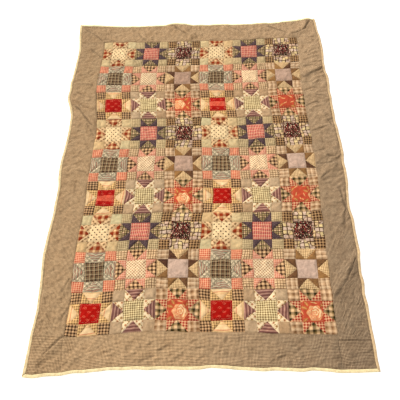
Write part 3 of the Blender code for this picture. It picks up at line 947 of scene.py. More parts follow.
# The cloths of the patches: how each is made, and from what
Cloths = namedtuple("Cloths", "centre points geese corners")
BLOCK_CLOTHS = {
    ("A", 1): Cloths(
        dotted("cream pin speck", (251, 218, 165), (62, 30, 10), 25, 27, (7.8, 6.4)),
        dotted("sand pin speck", (240, 199, 147), (154, 118, 78), 25, 27, (14, 9), 5),
        woven("brick buffalo check", [((148, 52, 14), 19), ((255, 210, 150), 12)], soft=2.4,
            wander=6, bold=0.25),
        plain("pale sage", (234, 191, 134), (206, 193, 148)),
    ),
    ("A", 2): Cloths(
        woven("coral check", [((186, 66, 56), 5.2), ((255, 204, 176), 4.0)], [((196, 88, 72), 6),
            ((104, 22, 20), 3.2), ((246, 180, 132), 4.8), ((188, 78, 64), 4)], soft=0.5),
        dotted("navy pin dot", (64, 42, 50), (168, 142, 130), 12, 6.5, (3.2, 2.4)),
        woven("olive plaid", [((232, 194, 150), 7.6), ((64, 40, 22), 4.2), ((184, 162, 112), 7),
            ((104, 72, 44), 2.8)], wander=2.0, bold=1),
        woven("sage check", [((228, 200, 150), 6.2), ((104, 78, 38), 3.3)], soft=0.5),
    ),
    ("A", 3): Cloths(
        speckled("garnet print", (48, 22, 12), [(150, 28, 22), (214, 156, 132), (104, 54, 46),
            (164, 92, 76), (238, 208, 170), (98, 88, 52)], 6.0, 9.8, 0.46),
        woven("lilac windowpane", [((218, 182, 153), 19), ((74, 40, 14), 4.9),
            ((248, 214, 142), 16), ((90, 54, 22), 3.8)], [((228, 192, 161), 17),
            ((74, 40, 14), 4.9), ((234, 200, 168), 20), ((84, 48, 18), 4.2)], soft=0.7, wander=10,
            bold=1),
        woven("lemon windowpane", [((250, 222, 150), 18), ((72, 40, 14), 4.8),
            ((230, 198, 170), 17), ((84, 48, 20), 3.6)], [((234, 204, 174), 20),
            ((72, 40, 14), 4.6), ((242, 212, 182), 16), ((82, 46, 18), 3.8)], soft=0.7, wander=10,
            bold=1),
        woven("black and tan check", [((200, 156, 106), 6.2), ((48, 22, 6), 7.8)], soft=0.5,
            wander=2),
    ),
    ("B", 1): Cloths(
        woven("charcoal plaid",
            [((190, 154, 114), 7), ((54, 28, 12), 7), ((164, 112, 78), 3), ((66, 38, 18), 4)],
            [((176, 158, 120), 7), ((44, 26, 12), 7.6), ((146, 128, 90), 4), ((64, 42, 22), 3)]),
        sprigged("teal leaf", (168, 152, 122), (252, 228, 186), 27, 24, 8, 2.8),
        woven("wavy stripe", [((190, 164, 132), 1)], [((226, 200, 164), 3.4),
            ((134, 116, 92), 3.4), ((208, 132, 108), 2.2), ((146, 150, 122), 3.6)], balance=0.95,
            soft=0.5, wander=20),
        woven("coral gingham", [((198, 74, 46), 5.2), ((252, 192, 148), 4.8)],
            [((204, 84, 56), 5), ((248, 188, 144), 4.6)], soft=0.6),
    ),
    ("B", 2): Cloths(
        trellised("rust trellis", (255, 228, 180), (160, 62, 22), 10.8, 9.8, 3.2),
        woven("rose check", [((205, 116, 84), 5), ((250, 194, 160), 4.4)], soft=0.5),
        woven("black gingham", [((242, 194, 140), 10.6), ((56, 24, 4), 9.4)], soft=1.2, wander=2,
            bold=0.35),
        woven("sage windowpane", [((243, 198, 152), 9.5), ((100, 62, 30), 2.8)],
            [((236, 199, 150), 11), ((120, 88, 48), 2.6)], soft=0.5, wander=3, bold=1),
    ),
    ("B", 3): Cloths(
        plain("lavender", (220, 186, 162), (172, 138, 114)),
        plain("aubergine", (84, 49, 38), (164, 120, 70)),
        woven("butter grid", [((254, 218, 162), 5), ((112, 68, 30), 3.0)],
            [((251, 210, 151), 5.2), ((120, 74, 34), 3.0)], soft=0.5),
        woven("taupe plaid", [((206, 168, 128), 8), ((136, 98, 62), 7), ((248, 214, 172), 8)],
            [((204, 166, 126), 14), ((152, 114, 78), 6), ((230, 196, 154), 8)], soft=2.2),
    ),
    ("C", 1): Cloths(
        sprigged("scarlet sprig", (179, 17, 5), (236, 116, 88), 42, 40, 9, 1.8,
            ((210, 64, 34), 34, 260)),
        woven("butter plaid", [((253, 206, 138), 7.6), ((96, 58, 20), 4.5)],
            [((252, 202, 134), 7.4), ((118, 76, 32), 4.1)], soft=0.6, wander=2),
        woven("peach stripe", [((249, 210, 156), 1)], [((250, 212, 158), 24),
            ((222, 128, 88), 3.6), ((248, 204, 144), 9), ((206, 150, 96), 2)], balance=0.9,
            soft=0.8),
        woven("black and cream gingham", [((226, 179, 128), 7.1), ((52, 27, 6), 6.9)], soft=0.8,
            bold=0.3),
    ),
    ("C", 2): Cloths(
        woven("olive gingham", [((254, 229, 170), 5.9), ((111, 76, 26), 5.1)], soft=0.9),
        flowered("posy print", (254, 226, 181), ((222, 164, 116), (196, 156, 100)),
            (150, 100, 66), (176, 148, 92), 30, 28, 6.8),
        woven("mauve stripe", [((160, 114, 96), 1)], [((130, 84, 72), 5), ((204, 156, 132), 3.8),
            ((150, 104, 92), 4), ((100, 58, 54), 2.4)], balance=0.9, soft=0.8, wander=2),
        plain("grey taupe", (208, 176, 137), (180, 146, 108)),
    ),
    ("C", 3): Cloths(
        bloomed("coral bloom", (201, 82, 52), (238, 146, 98), (252, 212, 156), (208, 92, 56),
            (194, 122, 64), (238, 166, 98)),
        woven("red gingham", [((243, 190, 140), 6.1), ((162, 16, 6), 6.7)], soft=0.8),
        woven("bottle green plaid",
            [((246, 202, 150), 13), ((48, 40, 12), 10), ((130, 104, 54), 6)],
            [((242, 198, 146), 13), ((52, 42, 14), 9), ((146, 114, 62), 6)], soft=1.8, wander=4,
            bold=0.3),
        woven("soft beige plaid",
            [((240, 202, 158), 11), ((134, 92, 56), 10), ((184, 142, 100), 6)],
            [((234, 194, 150), 12), ((138, 98, 62), 9), ((182, 142, 100), 7)], soft=2.6,
            wander=4),
    ),
}
ROW_NAMES = "ABC"


# ------------------------------------------------------------------ sheets of cloth

BACKING = plain("backing muslin", (232, 214, 180), (224, 204, 168))


# How the border's colour changes: where each change begins and over what distance it
# grows, in metres from the middle, and how much light it takes. The darkening towards the
# foot's right is painted shade, as of light falling off towards there; the left strip is
# darker too, most towards its ends, and the right strip is bluer towards the foot.
Gradient = namedtuple("Gradient", "begins over")
TO_RIGHT, TO_FOOT, TO_LEFT, TO_ENDS = (
    Gradient(*row) for row in [(-0.1, 0.82), (-0.95, 1.9), (0.50, 0.2), (0.6, 0.3)]
)
PAINTED_SHADE_FOOT_RIGHT, DARK_LEFT = 0.42, 0.06
COOL_RIGHT, COOLER = 0.4, (0.98, 1.03, 1.16, 1)


def border_cotton():
    """A fine brown and cream check, with painted shade darkest at the foot's right, and
    coolest there.
    """
    cloth = Cotton("border check")
    x, y = cloth.wandering(1.0)
    bands = [((80, 49, 26), 2.7), ((233, 196, 149), 3.1)]
    share = 0.5 + (cloth.over_under() - 0.5) * 0.4
    checked = cloth.mix(share, cloth.sett(x, bands, 0.3), cloth.sett(y, bands, 0.3))
    where = cloth.add("ShaderNodeTexCoord", out="Object")
    right, head = cloth.part(where, 0), cloth.part(where, 1)
    to_right, to_foot, to_left, to_ends = (
        cloth.clamped((place - gradient.begins) / gradient.over)
        for place, gradient in [
            (right, TO_RIGHT), (0 - head, TO_FOOT), (0 - right, TO_LEFT), (abs(head), TO_ENDS)
        ]
    )
    # Painted shade towards the foot's right, and a darker left strip
    light = (1 - PAINTED_SHADE_FOOT_RIGHT * to_right * to_foot) * (1 - DARK_LEFT * to_left * (1 + to_ends))
    cool = to_right * (COOL_RIGHT + (1 - COOL_RIGHT) * to_foot)
    check_with_painted_shade = cloth.scaled(cloth.through(checked, cloth.mix(cool, UNDYED, COOLER)), light)
    return cloth.finish(check_with_painted_shade, streaky=0.40, mottle=0.44, grain=0.40)


BORDER_CLOTH = border_cotton()
BINDING_CLOTH = plain("binding cotton", (231, 196, 148), (255, 244, 190))


def placed(name, data):
    """An object in the scene."""
    piece = bpy.data.objects.new(name, data)
    bpy.context.scene.collection.objects.link(piece)
    return piece


def new_piece(name, vertices, loops, sizes, materials, indices, maps, values):
    """An object from flat lists: each face's vertices run on in loops, sizes[i] of them."""
    mesh = bpy.data.meshes.new(name)
    mesh.vertices.add(len(vertices))
    mesh.vertices.foreach_set("co", np.asarray(vertices, np.float32).ravel())
    mesh.loops.add(len(loops))
    mesh.loops.foreach_set("vertex_index", np.asarray(loops, np.int32))
    mesh.polygons.add(len(sizes))
    starts = np.concatenate([[0], np.cumsum(sizes)[:-1]])
    mesh.polygons.foreach_set("loop_start", starts.astype(np.int32))
    for material in materials:
        mesh.materials.append(material)
    mesh.polygons.foreach_set("material_index", np.asarray(indices, np.int32))
    for map_name, places in maps.items():
        layer = mesh.uv_layers.new(name=map_name)
        layer.data.foreach_set("uv", np.asarray(places, np.float32).ravel())
    for value_name, (domain, numbers) in values.items():
        attribute = mesh.attributes.new(value_name, "FLOAT", domain)
        attribute.data.foreach_set("value", np.asarray(numbers, np.float32).ravel())
    mesh.update(calc_edges=True)
    mesh.validate()
    mesh.shade_smooth()
    return placed(name, mesh)


def wall(top, under):
    """The faces of one cut edge, between a fine top line and a coarse underside line."""
    faces = []
    for k in range(len(under) - 1):
        first = k * UNDER_CELLS
        faces.append([*top[first : first + UNDER_CELLS + 1], under[k + 1], under[k]])
    return faces


# Where a sheet's top, underside and lower edge are baked: left, bottom, width and height
BAKED_ON = [(0.01, 0.01, 0.70, 0.98), (0.74, 0.01, 0.25, 0.98), (0.005, 0.005, 0.71, 0.99)]


def cut_sheet(name, across, down, cloth_of):
    """A closed piece of cloth over the fine places across and down. cloth_of gives, for
    each place, the material, the turn and offset of its map, and its tint."""
    columns, rows = len(across), len(down)
    place_x, place_y = np.meshgrid(across, down)
    # Besides the height: the light left by painted seam and lip shade, and in deep the painted
    # shade of creases and hollows
    height, painted_seam_and_lip_light, deep = top_of_cloth(place_x, place_y)
    top_points = laid(place_x, place_y, height).reshape(-1, 3)
    index = np.arange(rows * columns).reshape(rows, columns)

    coarse_x, coarse_y = np.meshgrid(across[::UNDER_CELLS], down[::UNDER_CELLS])
    under_points = laid(coarse_x, coarse_y, under_of_cloth(coarse_x, coarse_y)).reshape(-1, 3)
    under = np.arange(coarse_x.size).reshape(coarse_x.shape) + index.size

    # Two triangles to a cell, cut along the slant of the block's star points
    a, b, c, d = index[:-1, :-1], index[1:, :-1], index[1:, 1:], index[:-1, 1:]
    middle_x = (place_x[:-1, :-1] + place_x[1:, 1:]) / 2
    middle_y = (place_y[:-1, :-1] + place_y[1:, 1:]) / 2
    falls = (folded(middle_x)[1] == folded(middle_y)[1])[..., None]
    first = np.where(falls, np.stack([a, b, c], -1), np.stack([a, b, d], -1))
    second = np.where(falls, np.stack([a, c, d], -1), np.stack([b, c, d], -1))
    triangles = np.concatenate([first.reshape(-1, 3), second.reshape(-1, 3)])
    quads = np.stack([under[:-1, :-1], under[:-1, 1:], under[1:, 1:], under[1:, :-1]], -1)
    quads = quads.reshape(-1, 4)
    walls = wall(index[0], under[0]) + wall(index[:, -1], under[:, -1])
    walls += wall(index[-1, ::-1], under[-1, ::-1]) + wall(index[::-1, 0], under[::-1, 0])
    wall_loops = np.array([corner for face in walls for corner in face])
    loops = np.concatenate([triangles.ravel(), quads.ravel(), wall_loops])
    sizes = np.concatenate(
        [np.full(len(triangles), 3), np.full(len(quads), 4), [len(face) for face in walls]]
    )

    # The map of the threads, patch by patch on the top and square to it elsewhere
    plan_x = np.concatenate([place_x.ravel(), coarse_x.ravel()])
    plan_y = np.concatenate([place_y.ravel(), coarse_y.ravel()])
    middle = [plan[triangles].mean(axis=1) for plan in (plan_x, plan_y)]
    which, turn, offset_x, offset_y, tint = cloth_of(*middle)
    corner_x, corner_y = plan_x[triangles], plan_y[triangles]
    turn_x, turn_y = np.cos(turn)[:, None], np.sin(turn)[:, None]
    cloth_x = corner_x * turn_x + corner_y * turn_y + offset_x[:, None]
    cloth_y = corner_y * turn_x - corner_x * turn_y + offset_y[:, None]
    cloth_map = np.stack([plan_x[loops], plan_y[loops]], -1)
    cloth_map[: triangles.size] = np.stack([cloth_x.ravel(), cloth_y.ravel()], -1)

    # The map for baking: the top, its cut edges round it, and the underside beside them
    share_x = (plan_x - across[0]) / (across[-1] - across[0])
    share_y = (plan_y - down[0]) / (down[-1] - down[0])
    on_top, beneath, at_edge = (
        np.stack([left + width * share_x, low + height * share_y], -1)
        for left, low, width, height in BAKED_ON
    )
    bake_map = on_top[loops]
    in_quads = slice(triangles.size, triangles.size + quads.size)
    bake_map[in_quads] = beneath[loops[in_quads]]
    in_walls = slice(triangles.size + quads.size, None)
    is_under = (wall_loops >= index.size)[:, None]
    bake_map[in_walls] = np.where(is_under, at_edge[wall_loops], on_top[wall_loops])

    materials = sorted(set(which.tolist()))
    slot_of = {number: slot for slot, number in enumerate(materials)}
    indices = np.concatenate([
        [slot_of[number] for number in which.tolist()],
        np.full(len(quads) + len(walls), len(materials)),
    ])
    plain_faces = np.zeros(len(quads) + len(walls))
    plain_points = np.zeros(len(under_points))
    points = np.concatenate([top_points, under_points])
    finishes = [ALL_CLOTHS[number] for number in materials] + [BACKING]
    maps = {"Cloth": cloth_map, "OFBake": bake_map}
    values = {
        "Puffed": ("POINT", np.concatenate([painted_seam_and_lip_light.ravel(), plain_points + 1])),
        "Creased": ("POINT", np.concatenate([deep.ravel(), plain_points])),
        "Tint": ("FACE", np.concatenate([tint, plain_faces])),
    }
    return new_piece(name, points, loops, sizes, finishes, indices, maps, values)


ALL_CLOTHS = [cloth for cloths in BLOCK_CLOTHS.values() for cloth in cloths]
ALL_CLOTHS.append(BORDER_CLOTH)
CLOTH_NUMBERS = {key: 4 * i for i, key in enumerate(BLOCK_CLOTHS)}
# A kind of patch to its place in Cloths
PLACE_IN_CLOTHS = np.array([0, 3, 2, 1])
GOOSE_MIDDLE = 0.017  # from a block's side to the middle that a checked goose is cut about

# Where the middle of a bloom lies in its block, in mm to the right and to the foot, and
# likewise the band of the scarlet cloth
PRINTS_PLACED = {
    (2, 2): (-22, 4), (2, 5): (1, 20), (2, 8): (10, 12), (5, 2): (76, 66), (5, 5): (72, 12),
    (5, 8): (11, 10), (0, 5): (0, -126), (3, 2): (0, -130),
}
SKEW = radians(1.6)  # how far a patch's threads usually stray from its sides
CUT_SPREAD = 0.040  # how far apart patches are cut from their cloth
CENTRE_PLAY, GOOSE_PLAY = 0.5, 0.65  # shares of it, where a print is cut to its patch


def patch_table():
    """For every patch of the panel: its turn, offset and tint, drawn once from one seed."""
    rng = np.random.default_rng(1934)
    count = BLOCKS_ACROSS * BLOCKS_DOWN * PATCH_NUMBERS
    skew = rng.normal(0, SKEW, count)
    quarter_turns = rng.integers(0, 2, count)
    offsets = rng.uniform(0, CUT_SPREAD, (count, 2))
    tints = rng.uniform(-1, 1, count)
    return skew, quarter_turns, offsets, tints


PATCHES = patch_table()


def patch_cloth(across, down):
    """What cut_sheet needs to know of places in the panel."""
    column = np.clip((across // BLOCK).astype(int), 0, BLOCKS_ACROSS - 1)
    row = np.clip((down // BLOCK).astype(int), 0, BLOCKS_DOWN - 1)
    kind, number, _ = patch_at(across, down)
    key = (row * BLOCKS_ACROSS + column) * PATCH_NUMBERS + number
    skew, quarter_turns, offsets, tints = (table[key] for table in PATCHES)
    on_a_flank = (number == LEFT_GOOSE) | (number == RIGHT_GOOSE)
    turned = np.where(kind == GOOSE, on_a_flank, quarter_turns * (kind != CENTRE))
    turn = skew + turned * pi / 2
    base = np.array([[CLOTH_NUMBERS[ROW_NAMES[r], c + 1] for c in range(3)] for r in range(3)])
    which = base[row % 3, column % 3] + PLACE_IN_CLOTHS[kind]
    # A centre square's map starts near its middle, for the prints that are cut to it, and
    # the first block's geese have red squares of their check near the middle
    checked_goose = (kind == GOOSE) & (which == CLOTH_NUMBERS["A", 1] + PLACE_IN_CLOTHS[GOOSE])
    beak = (BLOCK / 2 - GOOSE_MIDDLE) * checked_goose
    to_right = beak * ((number == RIGHT_GOOSE) * 1 - (number == LEFT_GOOSE))
    to_foot = beak * ((number == FOOT_GOOSE) * 1 - (number == HEAD_GOOSE))
    middle_x, middle_y = (column + 0.5) * BLOCK + to_right, (row + 0.5) * BLOCK + to_foot
    play = np.where(checked_goose, GOOSE_PLAY, CENTRE_PLAY)
    moved = (offsets - CUT_SPREAD / 2) * play[:, None]
    for (block_x, block_y), place in PRINTS_PLACED.items():
        moved[(column == block_x) & (row == block_y)] = -np.array(place) * MM
    own_x = moved[:, 0] - (middle_x * np.cos(turn) + middle_y * np.sin(turn))
    own_y = moved[:, 1] - (middle_y * np.cos(turn) - middle_x * np.sin(turn))
    own = (kind == CENTRE) | checked_goose
    offset_x = np.where(own, own_x, offsets[:, 0])
    offset_y = np.where(own, own_y, offsets[:, 1])
    return which, turn, offset_x, offset_y, tints


def border_cloth(turned):
    """What cut_sheet needs to know of one strip or corner square of the border."""

    def cloth_of(across, down):
        nothing = np.zeros(len(across))
        which = np.full(len(across), len(ALL_CLOTHS) - 1)
        return which, nothing + turned * pi / 2, nothing, nothing, nothing

    return cloth_of


def panel_places(first_block, last_block):
    """Fine places along some blocks, as many in each unit, with one on every seam."""
    lines = [0, OUTER_PATCH, BLOCK / 2, BLOCK - OUTER_PATCH, BLOCK]
    one_block = np.interp(np.arange(UNITS * CELLS) / CELLS, range(UNITS + 1), lines)
    blocks = np.arange(first_block, last_block)[:, None] * BLOCK + one_block
    return np.append(blocks.ravel(), last_block * BLOCK)


def border_places(start, outward):
    """Fine places across a border, from its seam out to its edge in the binding."""
    flat = np.linspace(0, LIP_LINE, 6 * UNDER_CELLS - 3)
    tucked = LIP_LINE + np.linspace(0.0008, TUCKED_IN - 0.0004, 4)
    places = start + outward * np.concatenate([flat, tucked])
    return places if outward > 0 else places[::-1]


SECTION = 3  # blocks along the side of one section of the panel
pieces = []


def sew_in(sheet, node):
    """Puts a finished sheet of cloth in its solid's place."""
    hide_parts(node)
    pieces.append(sheet)


def sew_panel():
    for row in range(0, BLOCKS_DOWN, SECTION):
        for column in range(0, BLOCKS_ACROSS, SECTION):
            name = f"patchwork_{ROW_NAMES[row // SECTION]}{column // SECTION + 1}"
            across = panel_places(column, column + SECTION)
            down = panel_places(row, row + SECTION)
            section = cut_sheet(name, across, down, patch_cloth)
            sew_in(section, "patchwork_panel")


def sew_border():
    ends = {"head": border_places(0, -1), "foot": border_places(PANEL_LENGTH, 1)}
    sides = {"left": border_places(0, -1), "right": border_places(PANEL_WIDTH, 1)}
    width = LIP_LINE + TUCKED_IN
    panel_across = panel_places(0, BLOCKS_ACROSS)
    panel_down = panel_places(0, BLOCKS_DOWN)
    strips = {}
    for end, places in ends.items():
        strips[f"border_{end}"] = (panel_across, places, 0, (PANEL_WIDTH, width))
    for side, places in sides.items():
        # The right strip runs on by some cells to the short corner square
        cells, short = (UNDER_CELLS, SHORT_CORNER) if side == "right" else (0, 0)
        strip_down = np.concatenate([panel_down, ends["foot"][1 : cells + 1]])
        strips[f"border_{side}"] = (places, strip_down, 1, (width, PANEL_LENGTH + short))
        strips[f"corner_head_{side}"] = (places, ends["head"], 0, (width, width))
        strips[f"corner_foot_{side}"] = (places, ends["foot"][cells:], 0, (width, width - short))
    for node, (across, down, turned, flat) in strips.items():
        strip = cut_sheet(f"cloth_{node}", across, down, border_cloth(turned))
        sew_in(strip, node)


# ------------------------------------------------------------------ binding

BINDING_THICKNESS = 0.0060
BINDING_LIP = 0.0012
MITRE_BACK = 0.0002  # from each mitre's seam
ROUND_STEPS = 6
BINDING_STEP = 0.0035  # along the strip
# The pillowed top of the lip: how far out, and how high above or below its thickness
LIP_TOP = [(0, -0.0004), (0.0006, 0), (0.0035, 0.0003), (0.0065, 0.0002)]
ON_TOP = 0.8  # the share of the thickness above which the strip gathers
LIP_EDGE = 0.001
GATHER_RUN = 0.4  # how much less the fine gathers change outwards than along


def binding_section():
    """The folded strip cut across: (distance out from the lip line, height) pairs."""
    top, slot_top = BINDING_THICKNESS, BINDING_THICKNESS - BINDING_LIP
    shoulder = BINDING - top / 2
    angles = [pi / 2 - pi * step / ROUND_STEPS for step in range(ROUND_STEPS + 1)]
    outer = [(shoulder + cos(turn) * top / 2, top / 2 + sin(turn) * top / 2) for turn in angles]
    flat_top = [(out, top + above) for out, above in LIP_TOP]
    slot = [(0, 0), (0, BINDING_LIP), (TUCKED_IN, BINDING_LIP), (TUCKED_IN, slot_top)]
    return [*flat_top, *outer, *slot, (0, slot_top)]


def lip_sway(along):
    """How far the lip's edge strays inwards."""
    return np.abs(uneven(along, np.zeros_like(along), *LIP_SWAY))


def bind_edge(name, length, point_at, paleness):
    """A binding strip along one edge, mitred at both ends. Its paleness is from -1 to 1, and
    is the painted light and shade of that side.
    """
    section = binding_section()
    out = np.array([place for place, _ in section])
    height = np.array([level for _, level in section])
    run = length + 2 * LIP_LINE
    steps = int(run / BINDING_STEP)
    along = np.linspace(-LIP_LINE, length + LIP_LINE, steps + 1)
    grid_along = np.repeat(along[:, None], len(section), axis=1)
    grid_along[0] = -LIP_LINE - out + MITRE_BACK
    grid_along[-1] = length + LIP_LINE + out - MITRE_BACK
    grid_out = np.repeat(out[None, :], len(along), axis=0)
    on_top = height > BINDING_THICKNESS * ON_TOP
    fine, coarse = GATHERS
    gather = uneven(grid_along, grid_out * GATHER_RUN, *fine)
    gather = gather + uneven(grid_along, grid_out, *coarse)
    grid_height = height[None, :] + np.where(on_top, gather, 0)
    grid_out = grid_out - np.where(on_top & (out < LIP_EDGE), lip_sway(grid_along), 0)
    points = laid(*point_at(grid_along, grid_out), grid_height).reshape(-1, 3)
    count = len(section)
    index = np.arange(len(points)).reshape(len(along), count)
    after = np.roll(index, -1, axis=1)
    quads = np.stack([index[:-1], after[:-1], after[1:], index[1:]], -1).reshape(-1, 4)
    loops = np.concatenate([quads.ravel(), index[0, ::-1], index[-1]])
    sizes = np.concatenate([np.full(len(quads), 4), [count, count]])
    round_it = np.concatenate([[0], np.cumsum(np.hypot(np.diff(out), np.diff(height)))])
    map_x = np.repeat(along[:, None], count, axis=1).ravel()
    map_y = np.repeat(round_it[None, :], len(along), axis=0).ravel()
    maps = {"Cloth": np.stack([map_x[loops], map_y[loops]], -1)}
    values = {
        value_name: ("POINT", np.full(len(points), value))
        for value_name, value in [("Puffed", 1), ("Creased", 0), ("Tint", paleness)]
    }
    indices = np.zeros(len(sizes))
    piece = new_piece(name, points, loops, sizes, [BINDING_CLOTH], indices, maps, values)
    make_outward(piece)
    return piece


def make_outward(piece):
    """Turns every face of a closed mesh outwards."""
    mesh = bmesh.new()
    mesh.from_mesh(piece.data)
    bmesh.ops.recalc_face_normals(mesh, faces=mesh.faces)
    mesh.to_mesh(piece.data)
    mesh.free()


# Each edge's length between the panel's corners, where a place along it lies that is some
# way out from its lip line, and how pale its binding is. The paleness is painted light and
# shade of each side: lightest at the head, darkest at the right.
EDGES = {
    "head": (PANEL_WIDTH, lambda along, out: (along, -LIP_LINE - out), 1.0),
    "foot": (PANEL_WIDTH, lambda along, out: (along, PANEL_LENGTH + LIP_LINE + out), 0.2),
    "left": (PANEL_LENGTH, lambda along, out: (-LIP_LINE - out, along), -0.4),
    "right": (PANEL_LENGTH, lambda along, out: (PANEL_WIDTH + LIP_LINE + out, along), -1.3),
}


def sew_binding():
    for end, (length, point_at, paleness) in EDGES.items():
        strip = bind_edge(f"folded_binding_{end}", length, point_at, paleness)
        sew_in(strip, f"binding_{end}")


# ------------------------------------------------------------------ stitches

LINE_STEP = 0.004  # between the points of a sewing line


def stitch_tree():
    """Stitches along the lines of a mesh: each a grain of thread laid on its line."""
    tree = bpy.data.node_groups.new("stitches along lines", "GeometryNodeTree")
    sizes = ["Pitch", "Length", "Width", "Slant", "Slant unevenness"]
    for name, kind in [
        ("Lines", "NodeSocketGeometry"), *((size, "NodeSocketFloat") for size in sizes),
        ("Seed", "NodeSocketInt"), ("Thread", "NodeSocketMaterial"),
    ]:
        tree.interface.new_socket(name, in_out="INPUT", socket_type=kind)
    tree.interface.new_socket("Stitches", in_out="OUTPUT", socket_type="NodeSocketGeometry")
    nodes = Nodes(tree)
    inputs = tree.nodes.new("NodeGroupInput")
    given = {socket.name: Wire(nodes, socket) for socket in inputs.outputs if socket.name}

    line = nodes.add("GeometryNodeMeshToCurve", None, {"Mesh": given["Lines"]})
    settings = {"Curve": line, "Length": given["Pitch"]}
    places = nodes.add("GeometryNodeCurveToPoints", {"mode": "LENGTH"}, settings)
    axes, tangent = {"axis": "X", "pivot_axis": "Z"}, {"Vector": places.other("Tangent")}
    along = nodes.add("FunctionNodeAlignRotationToVector", axes, tangent)

    def random_number(low, high, shift):
        sockets = {"Min_001": low, "Max_001": high, "Seed": given["Seed"] + shift}
        return nodes.add("FunctionNodeRandomValue", None, sockets, out="Value_001")

    slant = given["Slant"] + given["Slant unevenness"] * random_number(-1.0, 1.0, 0)
    turn = nodes.add("FunctionNodeAxisAngleToRotation", None, {"Angle": slant})
    turning = {"Rotation": along, "Rotate By": turn}
    turned = nodes.add("FunctionNodeRotateRotation", {"rotation_space": "LOCAL"}, turning)
    grain = nodes.add("GeometryNodeMeshUVSphere", None, {"Segments": 6, "Rings": 4})
    half = [given["Width"] * 0.4, given["Width"] * 0.5, given["Length"] * 0.5]
    stretch = nodes.add("ShaderNodeCombineXYZ", None, half)
    laid_down = {"Geometry": grain, "Rotation": (0, pi / 2, 0), "Scale": stretch}
    stitch = nodes.add("GeometryNodeTransform", None, laid_down)
    put_down = {"Points": places, "Instance": stitch, "Rotation": turned}
    put_down["Scale"] = random_number(0.8, 1.1, 1)
    sewn = nodes.add("GeometryNodeInstanceOnPoints", None, put_down)
    realized = nodes.add("GeometryNodeRealizeInstances", None, {"Geometry": sewn})
    threaded = {"Geometry": realized, "Material": given["Thread"]}
    finished = nodes.add("GeometryNodeSetMaterial", None, threaded)
    output = tree.nodes.new("NodeGroupOutput")
    tree.links.new(finished.socket, output.inputs[0])
    return tree


STITCHES = stitch_tree()


def sew_along(name, lines, sizes):
    """A piece of stitches along lines, each an array of points."""
    points = np.concatenate(lines)
    edges = []
    start = 0
    for line in lines:
        edges += [(i, i + 1) for i in range(start, start + len(line) - 1)]
        start += len(line)
    mesh = bpy.data.meshes.new(name)
    mesh.from_pydata(points.tolist(), edges, [])
    piece = placed(name, mesh)
    modifier = piece.modifiers.new("stitches", "NODES")
    modifier.node_group = STITCHES
    for socket in STITCHES.interface.items_tree:
        if socket.name in sizes:
            modifier[socket.identifier] = sizes[socket.name]
    evaluated = piece.evaluated_get(bpy.context.evaluated_depsgraph_get())
    sewn = bpy.data.meshes.new_from_object(evaluated)
    piece.modifiers.remove(modifier)
    piece.data = sewn
    sewn.shade_smooth()

    # A map for baking, seen from above
    while sewn.uv_layers:
        sewn.uv_layers.remove(sewn.uv_layers[0])
    places = np.empty(len(sewn.vertices) * 3, np.float32)
    sewn.vertices.foreach_get("co", places)
    places = places.reshape(-1, 3)[:, :2]
    loops = np.empty(len(sewn.loops), np.int32)
    sewn.loops.foreach_get("vertex_index", loops)
    share = (places - places.min(axis=0)) / np.ptp(places, axis=0)
    sewn.uv_layers.new(name="OFBake").data.foreach_set("uv", share[loops].ravel())
    pieces.append(piece)


def thread_cotton(name, colour, other):
    """Sewing thread, with its twist. The scales are in clouds to a metre."""
    thread = Finish(name)
    where = thread.add("ShaderNodeTexCoord", out="Object")

    def clouds(scale, detail):
        sockets = {"Vector": where, "Scale": scale, "Detail": detail}
        return thread.add("ShaderNodeTexNoise", None, sockets)

    worn, twist = clouds(30, 3), clouds(2500, 1)
    return thread.surface(
        Base_Color=thread.mix(worn, dye(*colour), dye(*other)),
        Roughness=0.75 + twist * 0.1,
        Normal=thread.bump(twist, 0.5, 0.0003),
        Specular_IOR_Level=0.2,
    )


STITCHES_OF = {
    "quilting": {
        "Pitch": 0.0056, "Length": 0.0030, "Width": 0.0007, "Slant": 0.0,
        "Slant unevenness": 0.09, "Seed": 7,
        "Thread": thread_cotton("quilting thread", (250, 232, 196), (232, 206, 160)),
    },
    "binding": {
        "Pitch": 0.0052, "Length": 0.0026, "Width": 0.0006, "Slant": 0.95,
        "Slant unevenness": 0.2, "Seed": 11,
        "Thread": thread_cotton("hemming thread", (240, 214, 164), (224, 190, 136)),
    },
}
ON_CLOTH, IN_LIP = 0.0001, 0.0003  # how high over the quilting and deep in the lip they lie


def quilting_lines():
    """One line of quilting inside every centre square."""
    near, far = OUTER_PATCH + QUILTED_AT, BLOCK - OUTER_PATCH - QUILTED_AT
    side = np.linspace(near, far, round((far - near) / LINE_STEP) + 1)
    low, high = np.full_like(side, near), np.full_like(side, far)
    square_x = np.concatenate([side, high, side[::-1], low])
    square_y = np.concatenate([low, side, high, side[::-1]])
    lines = []
    for row in range(BLOCKS_DOWN):
        for column in range(BLOCKS_ACROSS):
            across, down = column * BLOCK + square_x, row * BLOCK + square_y
            height, _, _ = top_of_cloth(across, down)
            lines.append(laid(across, down, height + ON_CLOTH))
    return lines


def lip_lines():
    """The lines along which the binding's lip is sewn down."""
    lines = []
    for length, point_at, _ in EDGES.values():
        steps = round((length + 2 * LIP_LINE) / LINE_STEP)
        along = np.linspace(-LIP_LINE, length + LIP_LINE, steps + 1)
        lines.append(laid(*point_at(along, -lip_sway(along)), BINDING_THICKNESS - IN_LIP))
    return lines


def sew_stitches():
    quilting, binding = STITCHES_OF["quilting"], STITCHES_OF["binding"]
    sew_along("quilting_stitches", quilting_lines(), quilting)
    sew_along("binding_stitches", lip_lines(), binding)


# ------------------------------------------------------------------ camera, floor, light

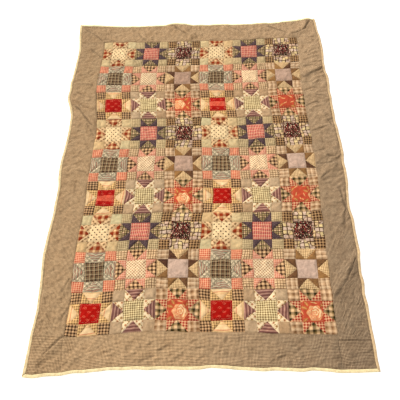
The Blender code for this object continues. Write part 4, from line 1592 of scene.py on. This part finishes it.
CAMERA_AT = Vector((0.0774, -1.3318, 2.0945))
CAMERA_AIM = Vector((0.0061, -0.2262, 0))
CAMERA_ROLL = radians(-4.119)
CAMERA_LENS = 41.01
SENSOR = 36


def place_camera():
    away = (CAMERA_AT - CAMERA_AIM).normalized()
    level = Vector((0, 0, 1)).cross(away).normalized()
    upright = away.cross(level)
    right = level * cos(CAMERA_ROLL) + upright * sin(CAMERA_ROLL)
    up = away.cross(right)
    camera = placed("camera", bpy.data.cameras.new("camera"))
    camera.data.lens = CAMERA_LENS
    camera.data.sensor_width = SENSOR
    turned = Matrix((right, up, away)).transposed().to_4x4()
    camera.matrix_world = Matrix.Translation(CAMERA_AT) @ turned
    bpy.context.scene.camera = camera


FLOOR_REACH, FLOOR_BELOW, FLOOR_GLOW = 6, 0.0002, 0.65


def lay_floor():
    mesh = bpy.data.meshes.new("floor")
    corners = [(-1, -1), (1, -1), (1, 1), (-1, 1)]
    points = [(x * FLOOR_REACH, y * FLOOR_REACH, LOWEST - FLOOR_BELOW) for x, y in corners]
    mesh.from_pydata(points, [], [(0, 1, 2, 3)])
    mesh.materials.append(Finish("pale floor").surface(
        Base_Color=(0.8, 0.8, 0.8, 1), Roughness=0.9, Specular_IOR_Level=0.1,
        Emission_Color=UNDYED, Emission_Strength=FLOOR_GLOW,
    ))
    placed("floor", mesh)


SKY = 0.50  # light from all round
SUN = 2.95
SUN_SPREAD = radians(16)
SUN_FROM = Vector((-1.0, 0.75, 0.95))


def light_room():
    world = bpy.data.worlds.new("room")
    world.use_nodes = True
    sky = world.node_tree.nodes["Background"]
    sky.inputs["Color"].default_value = UNDYED
    sky.inputs["Strength"].default_value = SKY
    bpy.context.scene.world = world
    light = bpy.data.lights.new("window", "SUN")
    light.energy = SUN
    light.angle = SUN_SPREAD
    placed("window", light).rotation_euler = SUN_FROM.to_track_quat("Z", "Y").to_euler()
    bpy.context.scene.view_settings.view_transform = "Standard"


place_camera()
sew_panel()
sew_border()
sew_binding()
sew_stitches()
for piece in pieces:
    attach(piece, "root")
lay_floor()
light_room()
